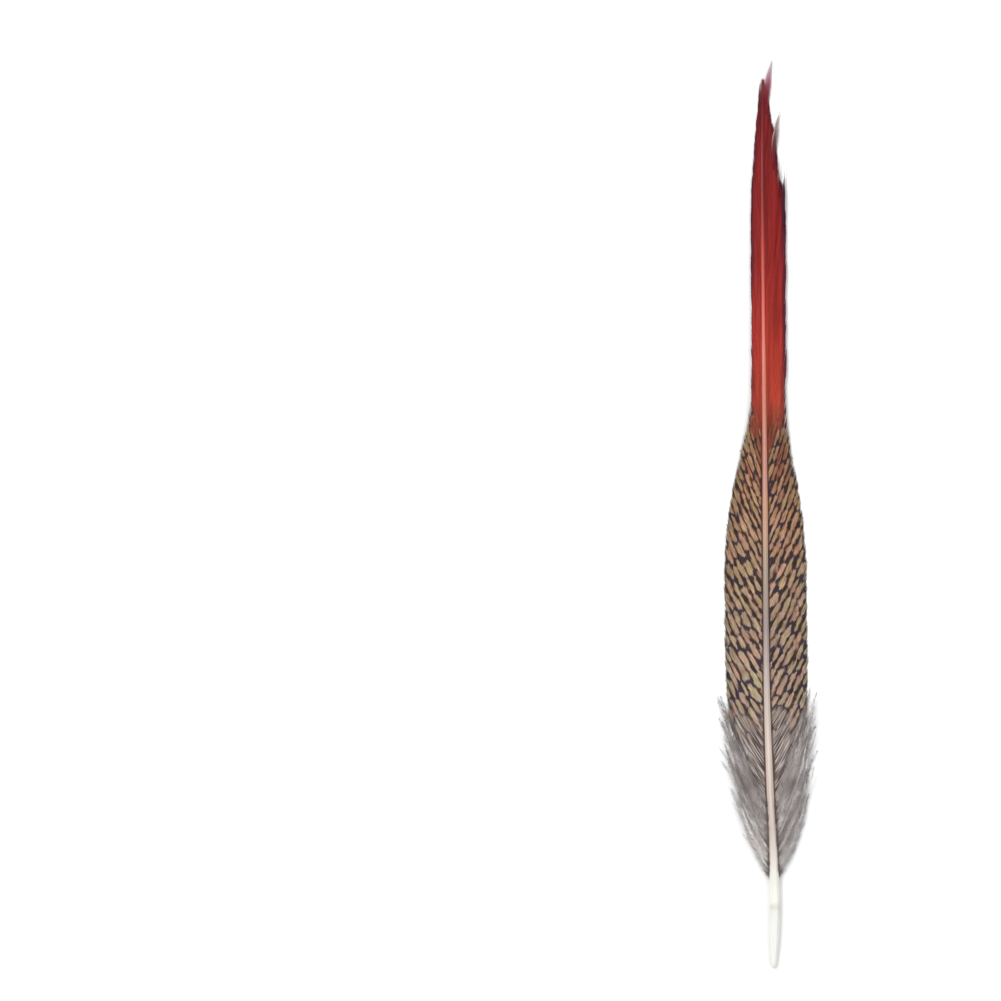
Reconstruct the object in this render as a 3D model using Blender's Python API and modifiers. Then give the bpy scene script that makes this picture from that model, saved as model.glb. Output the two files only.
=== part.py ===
"""Pheasant tail feather: a long, red-tipped, barred tail covert, lying with its outer face up.

The feather grew as one piece, so it is one solid: the shaft with its bare quill, the web of
barbs on both sides of it, the locks of down around its lower part, and the loose locks along
the edge and at the tip. Metres, +Z up, +Y from the quill's end to the tip. The origin is on the
surface that the feather lies on, below its middle.
"""

import math
import random

import bmesh
import bpy
import numpy as np
from mathutils import Matrix

MM = 0.001

# Driving dimensions, in metres
LENGTH = 264.0 * MM  # from the quill's end to the end of the longest tip lock
WEB_START = 25.0 * MM  # the lowest down, above the bare quill
DOWN_END = 54.0 * MM  # where the down gives way to the closed, barred web
WEB_END = 250.0 * MM  # the highest barb that leaves the shaft
WEB_THICKNESS = 0.45 * MM
FLOOR_CLEARANCE = 0.04 * MM  # how far the loose locks stay above the surface below them

# The shaft's stations in millimetres: distance from the quill's end, sideways place of the
# axis, height of the axis, and radius. The quill and the tip lie on the surface, and the
# shaft bows up between them.
SHAFT_STATIONS = (
    (0.0, 1.7, 0.80, 0.75),
    (2.5, 1.8, 1.15, 1.15),
    (9.0, 2.1, 1.35, 1.42),
    (20.0, 2.2, 1.50, 1.48),
    (36.0, 1.7, 2.30, 1.24),
    (62.0, 0.5, 3.10, 1.14),
    (90.0, -0.1, 3.75, 0.94),
    (118.0, -0.4, 4.00, 0.82),
    (146.0, -0.6, 3.85, 0.66),
    (175.0, -0.9, 3.20, 0.50),
    (205.0, -1.2, 2.20, 0.38),
    (232.0, -1.4, 1.25, 0.27),
    (253.0, -1.3, 0.60, 0.16),
)
SHAFT_RUNG = 6.0 * MM  # spacing of the shaft's cross sections
SHAFT_BEVEL = 2  # gives its section eight sides
SHAFT_TILT = math.radians(22.5)  # turns the section so that a flat side is lowest
SHAFT_SMOOTHING = 6.0 * MM
# The quill's rounded end: distances from its end, each with its share of the full radius
QUILL_ROUNDING = ((0.0, 0.45), (0.6 * MM, 0.8), (1.8 * MM, 1.0), (3.5 * MM, 1.0))

# The web's edge in millimetres: distance from the quill's end, and from the shaft to the edge
# on the left and on the right. The right web stays wider along the red upper half.
EDGE_STATIONS = (
    (22.0, 2.0, 2.0),
    (27.0, 5.0, 5.0),
    (36.0, 8.4, 8.6),
    (48.0, 10.2, 10.6),
    (60.0, 10.9, 11.4),
    (74.0, 11.3, 11.8),
    (88.0, 11.9, 12.2),
    (118.0, 11.9, 12.1),
    (130.0, 10.9, 11.2),
    (141.0, 8.9, 9.6),
    (150.0, 6.8, 7.8),
    (159.0, 4.6, 6.6),
    (168.0, 3.7, 6.4),
    (184.0, 3.5, 6.6),
    (216.0, 3.4, 6.8),
    (226.0, 3.0, 6.0),
    (233.0, 2.6, 4.6),
    (239.0, 2.2, 3.8),
    (246.0, 1.6, 2.5),
    (252.0, 1.2, 1.8),
    (256.5, 0.8, 1.0),
    (259.5, 0.0, 0.0),
)
EDGE_SMOOTHING = 3.0 * MM
READINGS = 9  # how many places each smoothed value is averaged over

# The slant of the barbs in degrees from the shaft: distance from the quill's end in
# millimetres, the slant where a barb leaves the shaft, and its slant at the edge.
SLANT_STATIONS = (
    (25.0, 49.0, 31.0),
    (38.0, 42.0, 25.0),
    (50.0, 37.0, 21.0),
    (72.0, 36.0, 20.0),
    (100.0, 34.0, 16.0),
    (125.0, 28.0, 12.0),
    (150.0, 17.0, 8.0),
    (175.0, 10.5, 5.0),
    (225.0, 8.0, 3.5),
    (250.0, 6.0, 3.0),
)

# The height that the web's edge bends down to, in millimetres above the surface, along the
# feather. Where it would pass below the surface, the margin of the web lies flat on it.
RIM_STATIONS = (
    (25.0, 1.4),
    (70.0, 1.3),
    (84.0, -0.8),
    (92.0, -1.8),
    (128.0, -1.8),
    (145.0, 0.2),
    (160.0, 1.2),
    (200.0, 1.1),
    (230.0, 0.6),
    (250.0, 0.3),
)
CAMBER = 1.5  # how late across its width the web bends down
LOWEST_MIDDLE = 0.45 * WEB_THICKNESS  # of the web, where its margin lies on the surface
NARROWEST = 0.5 * MM  # the least half width that the bend is shared out over
FURTHEST_SHARE = 1.3  # of the half width, past which the web bends no further

BARB_STEP = 0.25 * MM
LONGEST_BARB = 60.0 * MM
WEB_COLUMNS = 5  # faces between the shaft and the edge, on each side
DOWN_RUNG = 2.1 * MM  # spacing of the barbs that shape the down's fringe
WEB_RUNG = 3.9 * MM  # and of those that shape the closed web
DOWN_NOTCH = -0.42  # every second barb of the down's fringe is shorter by this share
WEB_TEETH = (0.05, -0.04, 0.0)  # the closed web's edge, barb by barb, where it is neat
RAGGED_STATIONS = ((130.0, 1.0), (160.0, 1.8), (200.0, 2.2), (236.0, 3.5))  # its teeth's scale

LOCK_RADIUS = 0.85 * MM
LOCK_FLATNESS = 0.5  # height of a lock's section as a share of its width
LOCK_BEVEL = 1  # gives its section six sides
LOCK_POINTS = 6
LOCK_PROFILE = (0.75, 0.97, 1.0, 0.78, 0.46, 0.10)  # its width, from root to tip
LOCKS_IN_LAYER = 10  # on each side
LOCK_REACHES = (-0.07, 0.05)  # the least and the most that a lock's reach differs from its layer's
LONG_LOCK_EVERY = 3  # one lock in so many stands out past the rest
LONG_LOCK_REACHES = (0.26, 0.15)  # on the left and the right, as shares of the web's width
LOCK_WIDTHS = (0.85, 1.15)  # its least and greatest width, as shares of the usual
LOCK_ROOTS = (26.5 * MM, 50.0 * MM)
# Where a layer of locks leaves the shaft, above its axis, as a share of its radius; the height
# of its tips in millimetres; and its reach past the fringe's edge
DOWN_LAYERS = ((-0.72, 0.32, 0.03), (0.66, 2.6, -0.08))

# Loose locks at the tip: side, distances along to the root and to the tip, how far out the tip
# ends, its height and the lock's half width, all in millimetres
TIP_LOCKS = (
    (1, 245.0, 264.0, 2.7, 0.5, 0.50),
    (-1, 240.0, 258.2, 0.6, 0.5, 0.46),
    (1, 233.0, 248.4, 5.0, 0.7, 0.55),
)
TIP_LOCK_BEND = 0.85  # below 1, a lock parts from the shaft early
WELD = 0.01 * MM

COLOUR = (0.36, 0.15, 0.10, 1.0)
ROUGHNESS = 0.6
SEED = 11


def clear_scene():
    """Removes everything that the scene holds."""
    for thing in list(bpy.data.objects):
        bpy.data.objects.remove(thing, do_unlink=True)


def read(stations, column, y):
    """The value of one column of a table of stations, at y metres from the quill's end."""
    places = [row[0] for row in stations]
    values = [row[column] for row in stations]
    return float(np.interp(y / MM, places, values))


def smooth(stations, column, y, reach):
    """As read, in metres, and averaged over reach metres to each side."""
    near = np.linspace(-reach, reach, READINGS)
    return sum(read(stations, column, y + step) for step in near) / len(near) * MM


def shaft_at(y):
    """The shaft's sideways place, height and radius at y."""
    return tuple(smooth(SHAFT_STATIONS, column, y, SHAFT_SMOOTHING) for column in (1, 2, 3))


def half_width(side, y):
    """The distance from the shaft to the web's edge at y; side is -1 or 1."""
    return smooth(EDGE_STATIONS, 1 if side < 0 else 2, y, EDGE_SMOOTHING)


def web_height(side, out, y):
    """The height of the middle of the web, out metres from the shaft at y."""
    crest = shaft_at(y)[1]
    rim = read(RIM_STATIONS, 1, y) * MM
    share = min(out / max(half_width(side, y), NARROWEST), FURTHEST_SHARE)
    return max(crest - (crest - rim) * share**CAMBER, LOWEST_MIDDLE)


def barb(side, root, tooth):
    """The points of one barb from the shaft to the web's edge, as distances out and along.

    It ends past the edge, or before it, by the share tooth of the web's width.
    """
    leaving = read(SLANT_STATIONS, 1, root)
    ending = read(SLANT_STATIONS, 2, root)
    out, y = 0.0, root
    points = [(out, y)]
    while len(points) * BARB_STEP < LONGEST_BARB:
        edge = half_width(side, y)
        if out >= edge * (1 + tooth):
            break
        slant = math.radians(leaving + (ending - leaving) * min(out / edge, 1))
        out += BARB_STEP * math.sin(slant)
        y += BARB_STEP * math.cos(slant)
        points.append((out, y))
    return points


def on_web(side, out, y):
    """The place in space of a point of the web."""
    return (shaft_at(y)[0] + side * out, y, web_height(side, out, y))


def spaced(points, count):
    """Count points spaced evenly along a line of points."""
    line = np.array(points)
    run = np.concatenate(([0], np.cumsum(np.linalg.norm(np.diff(line, axis=0), axis=1))))
    wanted = np.linspace(0, run[-1], count)
    return [tuple(np.interp(step, run, line[:, k]) for k in range(2)) for step in wanted]


def barb_roots():
    """Where the barbs that shape the web leave the shaft, each with its tooth."""
    roots = []
    y = WEB_START
    while y < DOWN_END:
        roots.append((y, DOWN_NOTCH if len(roots) % 2 else 0.0))
        y += DOWN_RUNG
    closed = 0
    while y <= WEB_END:
        ragged = read(RAGGED_STATIONS, 1, y)
        roots.append((y, ragged * WEB_TEETH[closed % len(WEB_TEETH)]))
        closed += 1
        y += WEB_RUNG
    return roots


def web_sheet():
    """The web of both sides as one sheet, whose rows follow the barbs."""
    roots = barb_roots()
    bm = bmesh.new()
    columns = 2 * WEB_COLUMNS
    bmesh.ops.create_grid(bm, x_segments=columns, y_segments=len(roots) - 1, size=1)
    rows = {}
    for index, (root, tooth) in enumerate(roots):
        left = spaced(barb(-1, root, tooth), WEB_COLUMNS + 1)
        right = spaced(barb(1, root, tooth), WEB_COLUMNS + 1)
        row = [on_web(-1, *point) for point in reversed(left)]
        rows[index] = row + [on_web(1, *point) for point in right[1:]]
    for vert in bm.verts:
        column = round((vert.co.x + 1) / 2 * columns)
        index = round((vert.co.y + 1) / 2 * (len(roots) - 1))
        vert.co = rows[index][column]
    mesh = bpy.data.meshes.new("web")
    bm.to_mesh(mesh)
    bm.free()
    return mesh


def as_object(name, mesh, collection):
    """A new object of a mesh, in a collection."""
    made = bpy.data.objects.new(name, mesh)
    collection.objects.link(made)
    return made


def evaluated(thing, name):
    """A new mesh of an object as its modifiers leave it, with loose caps welded."""
    graph = bpy.context.evaluated_depsgraph_get()
    mesh = bpy.data.meshes.new_from_object(thing.evaluated_get(graph))
    mesh.name = name
    mesh.transform(thing.matrix_world)
    bm = bmesh.new()
    bm.from_mesh(mesh)
    bmesh.ops.remove_doubles(bm, verts=bm.verts, dist=WELD)
    bm.to_mesh(mesh)
    bm.free()
    return mesh


def keep_above(mesh, floor):
    """Flattens what reaches below a height."""
    for vert in mesh.vertices:
        vert.co.z = max(vert.co.z, floor)


def web_solid(collection):
    """The web with its thickness, flat where its edges lie on the surface."""
    sheet = as_object("sheet", web_sheet(), collection)
    wall = sheet.modifiers.new("thickness", "SOLIDIFY")
    wall.thickness = WEB_THICKNESS
    wall.offset = 0
    mesh = evaluated(sheet, "feather")
    bpy.data.objects.remove(sheet, do_unlink=True)
    keep_above(mesh, 0.0)
    return mesh


def tubes(name, strands, depth, resolution, flatness, tilt, collection):
    """Tapered tubes with closed ends as one mesh.

    A strand is a list of points, each with a share of depth as its radius. Each section is
    flatness times as high as it is wide.
    """
    data = bpy.data.curves.new(name, "CURVE")
    data.dimensions = "3D"
    data.bevel_depth = depth
    data.bevel_resolution = resolution
    data.use_fill_caps = True
    for strand in strands:
        spline = data.splines.new("POLY")
        spline.points.add(len(strand) - 1)
        for point, ((x, y, z), share) in zip(spline.points, strand, strict=True):
            point.co = (x, y, z / flatness, 1)
            point.radius = share
            point.tilt = tilt
    curve = as_object(name, data, collection)
    mesh = evaluated(curve, name)
    bpy.data.objects.remove(curve, do_unlink=True)
    mesh.transform(Matrix.Diagonal((1, 1, flatness, 1)))
    return mesh


def shaft_mesh(collection):
    """The shaft, from the quill's rounded end to where it is lost in the tip."""
    end = SHAFT_STATIONS[-1][0] * MM
    rungs = [*QUILL_ROUNDING, *((y, 1.0) for y in np.arange(SHAFT_RUNG, end, SHAFT_RUNG)), (end, 1.0)]
    widest = max(shaft_at(y)[2] for y, share in rungs)
    strand = []
    for y, share in rungs:
        x, z, radius = shaft_at(y)
        strand.append(((x, y, z), share * radius / widest))
    return tubes("shaft", [strand], widest, SHAFT_BEVEL, 1.0, SHAFT_TILT, collection)


def down_lock(side, root, layer, further, chance):
    """One lock of down: it leaves the shaft, spreads along the barbs, over or under the fringe."""
    leaving, tip_height, reach = layer
    reach += further + chance.uniform(*LOCK_REACHES)
    line = spaced(barb(side, root, reach), LOCK_POINTS)
    width = chance.uniform(*LOCK_WIDTHS)
    start = shaft_at(root)[1] + leaving * shaft_at(root)[2]
    strand = []
    for index, (out, y) in enumerate(line):
        share = index / (LOCK_POINTS - 1)
        height = start + (tip_height * MM - start) * share
        place = (shaft_at(y)[0] + side * out, y, height)
        strand.append((place, width * LOCK_PROFILE[index]))
    return strand


def down_locks(chance):
    """The locks of down on both sides, in layers under and over the fringe."""
    lowest, highest = LOCK_ROOTS
    strands = []
    for number, layer in enumerate(DOWN_LAYERS):
        for side in (-1, 1):
            for index in range(LOCKS_IN_LAYER):
                step = (index + 0.5 * number + 0.25 * (side > 0)) / LOCKS_IN_LAYER
                root = lowest + step * (highest - lowest)
                is_long = (index + number) % LONG_LOCK_EVERY == 0
                further = LONG_LOCK_REACHES[side > 0] if is_long else 0.0
                strands.append(down_lock(side, root, layer, further, chance))
    return strands


def tip_lock(side, root, tip, out, height, half):
    """One loose lock at the tip: it leaves the shaft's axis and ends past the web's edge."""
    strand = []
    for index in range(LOCK_POINTS):
        share = index / (LOCK_POINTS - 1)
        y = (root + (tip - root) * share) * MM
        start = shaft_at(root * MM)[1]
        place = (
            shaft_at(y)[0] + side * out * MM * share**TIP_LOCK_BEND,
            y,
            start + (height * MM - start) * share,
        )
        strand.append((place, half * MM / LOCK_RADIUS * LOCK_PROFILE[index]))
    return strand


def tip_locks():
    """The loose locks at the tip."""
    return [tip_lock(*row) for row in TIP_LOCKS]


def add_union(thing, mesh, cutters):
    """Joins a mesh to an object, so that the two are one solid."""
    tool = as_object(mesh.name, mesh, cutters)
    tool.hide_render = True
    tool.display_type = "WIRE"
    join = thing.modifiers.new("join_" + mesh.name, "BOOLEAN")
    join.operation = "UNION"
    join.use_self = True
    join.object = tool


def feather_material():
    """The feather's plain overall finish."""
    made = bpy.data.materials.new("feather")
    made.use_nodes = True
    shader = made.node_tree.nodes["Principled BSDF"]
    shader.inputs["Base Color"].default_value = COLOUR
    shader.inputs["Roughness"].default_value = ROUGHNESS
    shader.inputs["Metallic"].default_value = 0.0
    return made


def build():
    """Makes the feather, and moves its middle over the origin."""
    clear_scene()
    parts = bpy.data.collections.new("pheasant_tail_feather")
    cutters = bpy.data.collections.new("joined_shapes")
    for collection in (parts, cutters):
        bpy.context.scene.collection.children.link(collection)
    chance = random.Random(SEED)
    shapes = [
        web_solid(cutters),
        shaft_mesh(cutters),
        tubes("down", down_locks(chance), LOCK_RADIUS, LOCK_BEVEL, LOCK_FLATNESS, 0, cutters),
        tubes("tip_locks", tip_locks(), LOCK_RADIUS, LOCK_BEVEL, 1.0, 0, cutters),
    ]
    for mesh in shapes[2:]:
        keep_above(mesh, FLOOR_CLEARANCE)
    for mesh in shapes:
        mesh.transform(Matrix.Translation((0, -LENGTH / 2, 0)))
    feather = as_object("feather", shapes[0], parts)
    feather.data.materials.append(feather_material())
    for mesh in shapes[1:]:
        add_union(feather, mesh, cutters)


build()
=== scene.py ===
"""Looks of a pheasant tail feather that lies with its outer face up.

The feather is dressed as it grew: a shaft, a web of several hundred barbs on each side of it,
down around its lower part, and loose barbs at its tip. Each kind of strand is modelled once and
copied along the lines that the barbs follow. Sizes are in millimetres, and distances along the
feather start at the quill's end. They turn to metres only where a mesh is made.
"""

import logging
import math
from collections.abc import Iterator, Sequence
from dataclasses import dataclass
from enum import Enum

import bpy
import numpy as np
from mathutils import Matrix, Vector


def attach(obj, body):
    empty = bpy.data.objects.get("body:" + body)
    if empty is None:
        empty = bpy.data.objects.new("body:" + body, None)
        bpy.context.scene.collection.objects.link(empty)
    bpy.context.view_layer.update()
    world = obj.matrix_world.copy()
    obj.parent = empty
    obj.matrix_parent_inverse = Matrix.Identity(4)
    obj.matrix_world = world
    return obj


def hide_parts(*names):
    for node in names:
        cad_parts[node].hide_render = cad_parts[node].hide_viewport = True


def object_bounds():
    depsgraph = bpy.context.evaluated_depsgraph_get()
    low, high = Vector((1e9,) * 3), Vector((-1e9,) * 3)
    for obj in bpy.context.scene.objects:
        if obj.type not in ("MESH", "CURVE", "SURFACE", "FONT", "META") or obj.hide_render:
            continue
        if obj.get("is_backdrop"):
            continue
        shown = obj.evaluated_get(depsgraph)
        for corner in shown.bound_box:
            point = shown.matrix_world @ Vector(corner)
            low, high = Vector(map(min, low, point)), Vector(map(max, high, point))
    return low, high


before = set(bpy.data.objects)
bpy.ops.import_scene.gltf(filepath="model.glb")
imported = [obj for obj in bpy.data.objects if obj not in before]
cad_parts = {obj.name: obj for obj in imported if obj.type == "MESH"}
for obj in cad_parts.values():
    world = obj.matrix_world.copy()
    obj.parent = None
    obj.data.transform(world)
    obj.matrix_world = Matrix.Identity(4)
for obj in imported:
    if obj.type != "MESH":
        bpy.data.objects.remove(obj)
CAD_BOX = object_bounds()

MM = 0.001
LENGTH = 264.0
READINGS = 9  # how many places each smoothed value is averaged over
FLOOR_GAP = 0.03  # how far every strand stays above the surface
LEFT_ROWS = 200.0  # keeps the pattern of the left web apart from that of the right one
LOWEST_BARB = 0.12  # the least height of the middle of a loose barb
LOWEST_FILAMENT = 0.08  # the least height of the middle of a filament
WHOLE_TURN = 6.3  # the span that the start of a wave is drawn from, in radians
PATCH_START = (0.04, 0.03)  # where a strand starts in its part of the baked texture
PATCH_SIDES = (0.42, 0.94)  # its sides there, across the strand and along it
PATCH_UNDER = 1.15  # how far beside its top its underside lies there, in widths
UP = (0.0, 0.0, 1.0)
BARRED_SEED, RED_SEED, DOWN_SEED, TUFT_SEED = 100, 200, 300, 400
BAKE_MAP = "OFBake"
FLOW_MAP = "flow"
LOG = logging.getLogger("feather")

Array = np.ndarray
Colour = tuple[float, float, float]
Table = tuple[tuple[float, ...], ...]
Socket = bpy.types.NodeSocket


class Side(Enum):
    """The side of the shaft, seen from above with the tip pointing up."""

    LEFT = -1
    RIGHT = 1


class Slot(Enum):
    """The material slots of the feather."""

    SHAFT = "shaft"
    RED_WEB = "red_web"
    BARRED_WEB = "barred_web"
    DOWN = "down"


# ---------------------------------------------------------------- helpers for arrays and meshes


def unit(vectors: Array) -> Array:
    """Vectors of length one.

    Args:
        vectors: An array whose last axis holds the vectors.

    Returns:
        An array of the same shape.
    """
    return vectors / np.maximum(np.linalg.norm(vectors, axis=-1, keepdims=True), 1e-9)


def between(values: Array, places: Array) -> Array:
    """Reads each row of values at fractional places.

    Args:
        values: Rows of stations, shaped (rows, stations) or (rows, stations, parts).
        places: Where to read each row, shaped (rows, readings).

    Returns:
        The values there, shaped (rows, readings) or (rows, readings, parts).
    """
    lower = np.clip(np.floor(places).astype(int), 0, values.shape[1] - 2)
    share = places - lower
    rows = np.arange(values.shape[0])[:, None]
    if values.ndim == 3:
        share = share[..., None]
    return values[rows, lower] * (1 - share) + values[rows, lower + 1] * share


def repeated(values: Array, rings: int) -> Array:
    """Gives every ring of a strand the strand's own value."""
    return np.repeat(values[:, None], rings, axis=1)


def distances(out: Array, y: Array) -> Array:
    """How far each point is along its strand."""
    steps = np.hypot(np.diff(out, axis=1), np.diff(y, axis=1))
    return np.concatenate((np.zeros((len(out), 1)), np.cumsum(steps, axis=1)), axis=1)


def headings(out: Array, y: Array) -> Array:
    """The angle between the shaft and each strand, at each of its points."""
    return np.arctan2(np.gradient(out, axis=1), np.gradient(y, axis=1))


def late(run: Array, start: float) -> Array:
    """A share that stays at 0 until a start, then grows to 1 at the strand's end."""
    return np.clip((run - start) / (1 - start), 0, 1)


def waves(run: Array, turns: object, count: int, chance: np.random.Generator) -> Array:
    """A wave along each strand, from -1 to 1.

    Args:
        run: The share of a strand's length at each of its points.
        turns: How far each wave turns along its strand, in radians.
        count: How many strands there are.
        chance: The source of the place where each wave starts.

    Returns:
        The waves, shaped (strands, points).
    """
    return np.sin(run * turns + chance.uniform(0, WHOLE_TURN, (count, 1)))


def pushed(out: Array, y: Array, heading: Array, shift: Array) -> tuple[Array, Array]:
    """Moves points square to their strands, but never past the shaft.

    Args:
        out: The points' distances out from the shaft.
        y: Their distances along it.
        heading: The strands' angles to the shaft there.
        shift: How far to move each point.

    Returns:
        The new distances out and along.
    """
    return np.maximum(out - np.cos(heading) * shift, 0), y + np.sin(heading) * shift


def clumps(
    roots: Array, widths: tuple[float, float], start: float, chance: np.random.Generator
) -> Iterator[tuple[Array, float, float]]:
    """Parts roots into neighbouring clumps.

    Args:
        roots: Where the strands leave the shaft.
        widths: The least and the greatest width of a clump, along the shaft.
        start: Where the first clump starts.
        chance: The source of unevenness.

    Yields:
        For each clump which roots are in it, its middle and its width.
    """
    while start < roots[-1]:
        width = chance.uniform(*widths)
        yield (roots >= start) & (roots < start + width), start + width / 2, width
        start += width


def to_metres(points: Array) -> Array:
    """Turns millimetres from the quill's end into the frame's metres."""
    return (points - (0.0, LENGTH / 2, 0.0)) * MM


def deselect_all() -> None:
    """Leaves nothing selected, in object mode."""
    if bpy.context.object and bpy.context.object.mode != "OBJECT":
        bpy.ops.object.mode_set(mode="OBJECT")
    bpy.ops.object.select_all(action="DESELECT")


def join(name: str, things: Sequence[bpy.types.Object]) -> bpy.types.Object:
    """Joins meshes into one object.

    Args:
        name: The name of the joined object.
        things: The objects to join.

    Returns:
        The first of them, which now holds all.
    """
    deselect_all()
    for thing in things:
        thing.select_set(True)
    bpy.context.view_layer.objects.active = things[0]
    if len(things) > 1:
        bpy.ops.object.join()
    things[0].name = name
    things[0].data.name = name
    return things[0]


# ---------------------------------------------------------------- the feather's lines


@dataclass(frozen=True)
class FeatherPlan:
    """The lines of the feather that its barbs and its shaft follow.

    Attributes:
        shaft: Rows of distance along, sideways place, height and radius of the shaft.
        edge: Rows of distance along, and half width of the left and of the right web.
        slant: Rows of root, a barb's slant in degrees at the shaft, and its slant at the edge.
        rim: Rows of distance along and the height that the web's edge bends down to.
        row: Rows of distance along and the width there of one row of the web's buff cells.
        camber: How late across its width the web bends down.
        shaft_reach: How far to each side the shaft's rows are averaged.
        edge_reach: How far to each side the web's half width is averaged.
        least_middle: The least height of the middle of the web.
        step: The length of one step along a barb.
        longest: The length at which a barb ends in any case.
    """

    shaft: Table = (
        (0.0, 1.7, 0.80, 0.75),
        (2.5, 1.8, 1.15, 1.15),
        (9.0, 2.1, 1.35, 1.42),
        (20.0, 2.2, 1.50, 1.48),
        (36.0, 1.65, 2.30, 1.22),
        (52.0, 0.75, 2.80, 1.04),
        (68.0, 0.1, 3.25, 0.97),
        (84.0, -0.3, 3.60, 0.86),
        (104.0, -0.5, 3.90, 0.74),
        (118.0, -0.6, 4.00, 0.72),
        (133.0, -0.7, 3.95, 0.78),
        (146.0, -0.8, 3.85, 0.66),
        (175.0, -1.05, 3.20, 0.54),
        (205.0, -1.3, 2.20, 0.46),
        (232.0, -1.5, 1.25, 0.38),
        (244.0, -1.45, 0.85, 0.28),
        (253.0, -1.3, 0.60, 0.12),
    )
    edge: Table = (
        (22.0, 2.0, 2.0),
        (27.0, 5.0, 5.0),
        (36.0, 8.4, 8.6),
        (48.0, 10.2, 10.6),
        (60.0, 10.9, 11.4),
        (74.0, 11.3, 11.8),
        (88.0, 11.9, 12.2),
        (118.0, 11.9, 12.1),
        (130.0, 10.9, 11.2),
        (141.0, 8.9, 9.6),
        (150.0, 6.8, 7.8),
        (159.0, 4.6, 6.6),
        (168.0, 3.7, 6.4),
        (184.0, 3.5, 6.6),
        (216.0, 3.4, 6.8),
        (224.5, 3.2, 6.7),
        (229.0, 2.9, 5.0),
        (233.0, 2.6, 4.5),
        (239.5, 2.2, 4.2),
        (243.0, 1.85, 3.3),
        (247.0, 1.5, 2.4),
        (252.0, 1.2, 1.7),
        (255.0, 1.0, 1.1),
        (256.6, 0.7, 0.6),
        (257.3, 0.0, 0.0),
    )
    slant: Table = (
        (25.0, 44.0, 28.0),
        (38.0, 38.0, 23.0),
        (50.0, 35.0, 22.0),
        (72.0, 34.0, 23.0),
        (100.0, 32.0, 21.0),
        (125.0, 27.0, 16.0),
        (150.0, 16.0, 9.0),
        (175.0, 9.5, 4.6),
        (225.0, 7.5, 3.4),
        (250.0, 6.0, 3.0),
    )
    rim: Table = (
        (25.0, 1.4),
        (70.0, 1.3),
        (84.0, -0.8),
        (92.0, -1.8),
        (128.0, -1.8),
        (145.0, 0.2),
        (160.0, 1.2),
        (200.0, 1.1),
        (230.0, 0.6),
        (250.0, 0.3),
    )
    row: Table = (
        (60.0, 2.3),
        (108.0, 2.15),
        (130.0, 1.35),
        (150.0, 1.0),
    )
    camber: float = 1.5
    shaft_reach: float = 6.0
    edge_reach: float = 1.5
    least_middle: float = 0.2
    step: float = 0.25
    longest: float = 75.0

    @staticmethod
    def read(table: Table, column: int, y: Array, reach: float = 0.0) -> Array:
        """Reads one column of a table.

        Args:
            table: Rows that start with a distance along the feather.
            column: The column to read.
            y: Where to read it.
            reach: How far to each side the value is averaged.

        Returns:
            The column's values at y.
        """
        rows = np.array(table)
        steps = np.linspace(-reach, reach, READINGS) if reach else (0.0,)
        return sum(np.interp(y + step, rows[:, 0], rows[:, column]) for step in steps) / len(steps)

    def shaft_at(self, y: Array) -> tuple[Array, Array, Array]:
        """The shaft's sideways place, height and radius at y."""
        return tuple(self.read(self.shaft, column, y, self.shaft_reach) for column in (1, 2, 3))

    def half_width(self, side: Side, y: Array) -> Array:
        """The distance from the shaft to the web's edge at y."""
        return self.read(self.edge, 1 if side is Side.LEFT else 2, y, self.edge_reach)

    def web_height(self, side: Side, out: Array, y: Array) -> Array:
        """The height of the middle of the web, out from the shaft at y.

        Args:
            side: The side of the shaft.
            out: Distances out from the shaft.
            y: Distances along it.

        Returns:
            The heights.
        """
        crest = self.read(self.shaft, 2, y, self.shaft_reach)
        share = np.clip(out / np.maximum(self.half_width(side, y), 0.5), 0, 1.3)
        sheet = crest - (crest - self.read(self.rim, 1, y)) * share**self.camber
        return np.maximum(sheet, self.least_middle)

    def web_normal(self, side: Side, out: Array, y: Array) -> Array:
        """The direction straight up from the web, out from the shaft at y.

        Args:
            side: The side of the shaft.
            out: Distances out from the shaft.
            y: Distances along it.

        Returns:
            The directions, of length one.
        """
        near = 0.2
        across = self.web_height(side, out + near, y) - self.web_height(side, out - near, y)
        along = self.web_height(side, out, y + near) - self.web_height(side, out, y - near)
        slope = (-side.value * across / (2 * near), -along / (2 * near), np.ones_like(out))
        return unit(np.stack(slope, axis=-1))

    def walk(
        self, side: Side, roots: Array, teeth: Array, rings: int, slanted: float = 1.0
    ) -> tuple[Array, Array]:
        """Follows barbs from the shaft to the web's edge.

        Args:
            side: The side of the shaft.
            roots: Where the barbs leave the shaft.
            teeth: How far each ends past the edge, as a share of the web's width.
            rings: How many points are wanted on each barb.
            slanted: The share of the web's slant that these barbs have.

        Returns:
            The points' distances out from the shaft and along it, each shaped (barbs, rings).
        """
        leaving = self.read(self.slant, 1, roots)
        ending = self.read(self.slant, 2, roots)
        out, y = np.zeros_like(roots), roots.copy()
        outs, ys, edges = [out], [y], [self.half_width(side, y)]
        for _ in range(int(self.longest / self.step)):
            share = np.minimum(out / np.maximum(edges[-1], 0.05), 1)
            slant = np.radians(leaving + (ending - leaving) * share) * slanted
            out = out + self.step * np.sin(slant)
            y = y + self.step * np.cos(slant)
            outs.append(out)
            ys.append(y)
            edges.append(self.half_width(side, y))
        ended = np.array(outs).T >= np.array(edges).T * (1 + teeth[:, None])
        last = np.where(ended.any(axis=1), ended.argmax(axis=1), ended.shape[1] - 1)
        places = np.maximum(last, 2)[:, None] * np.linspace(0, 1, rings)[None]
        return between(np.array(outs).T, places), between(np.array(ys).T, places)

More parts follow.
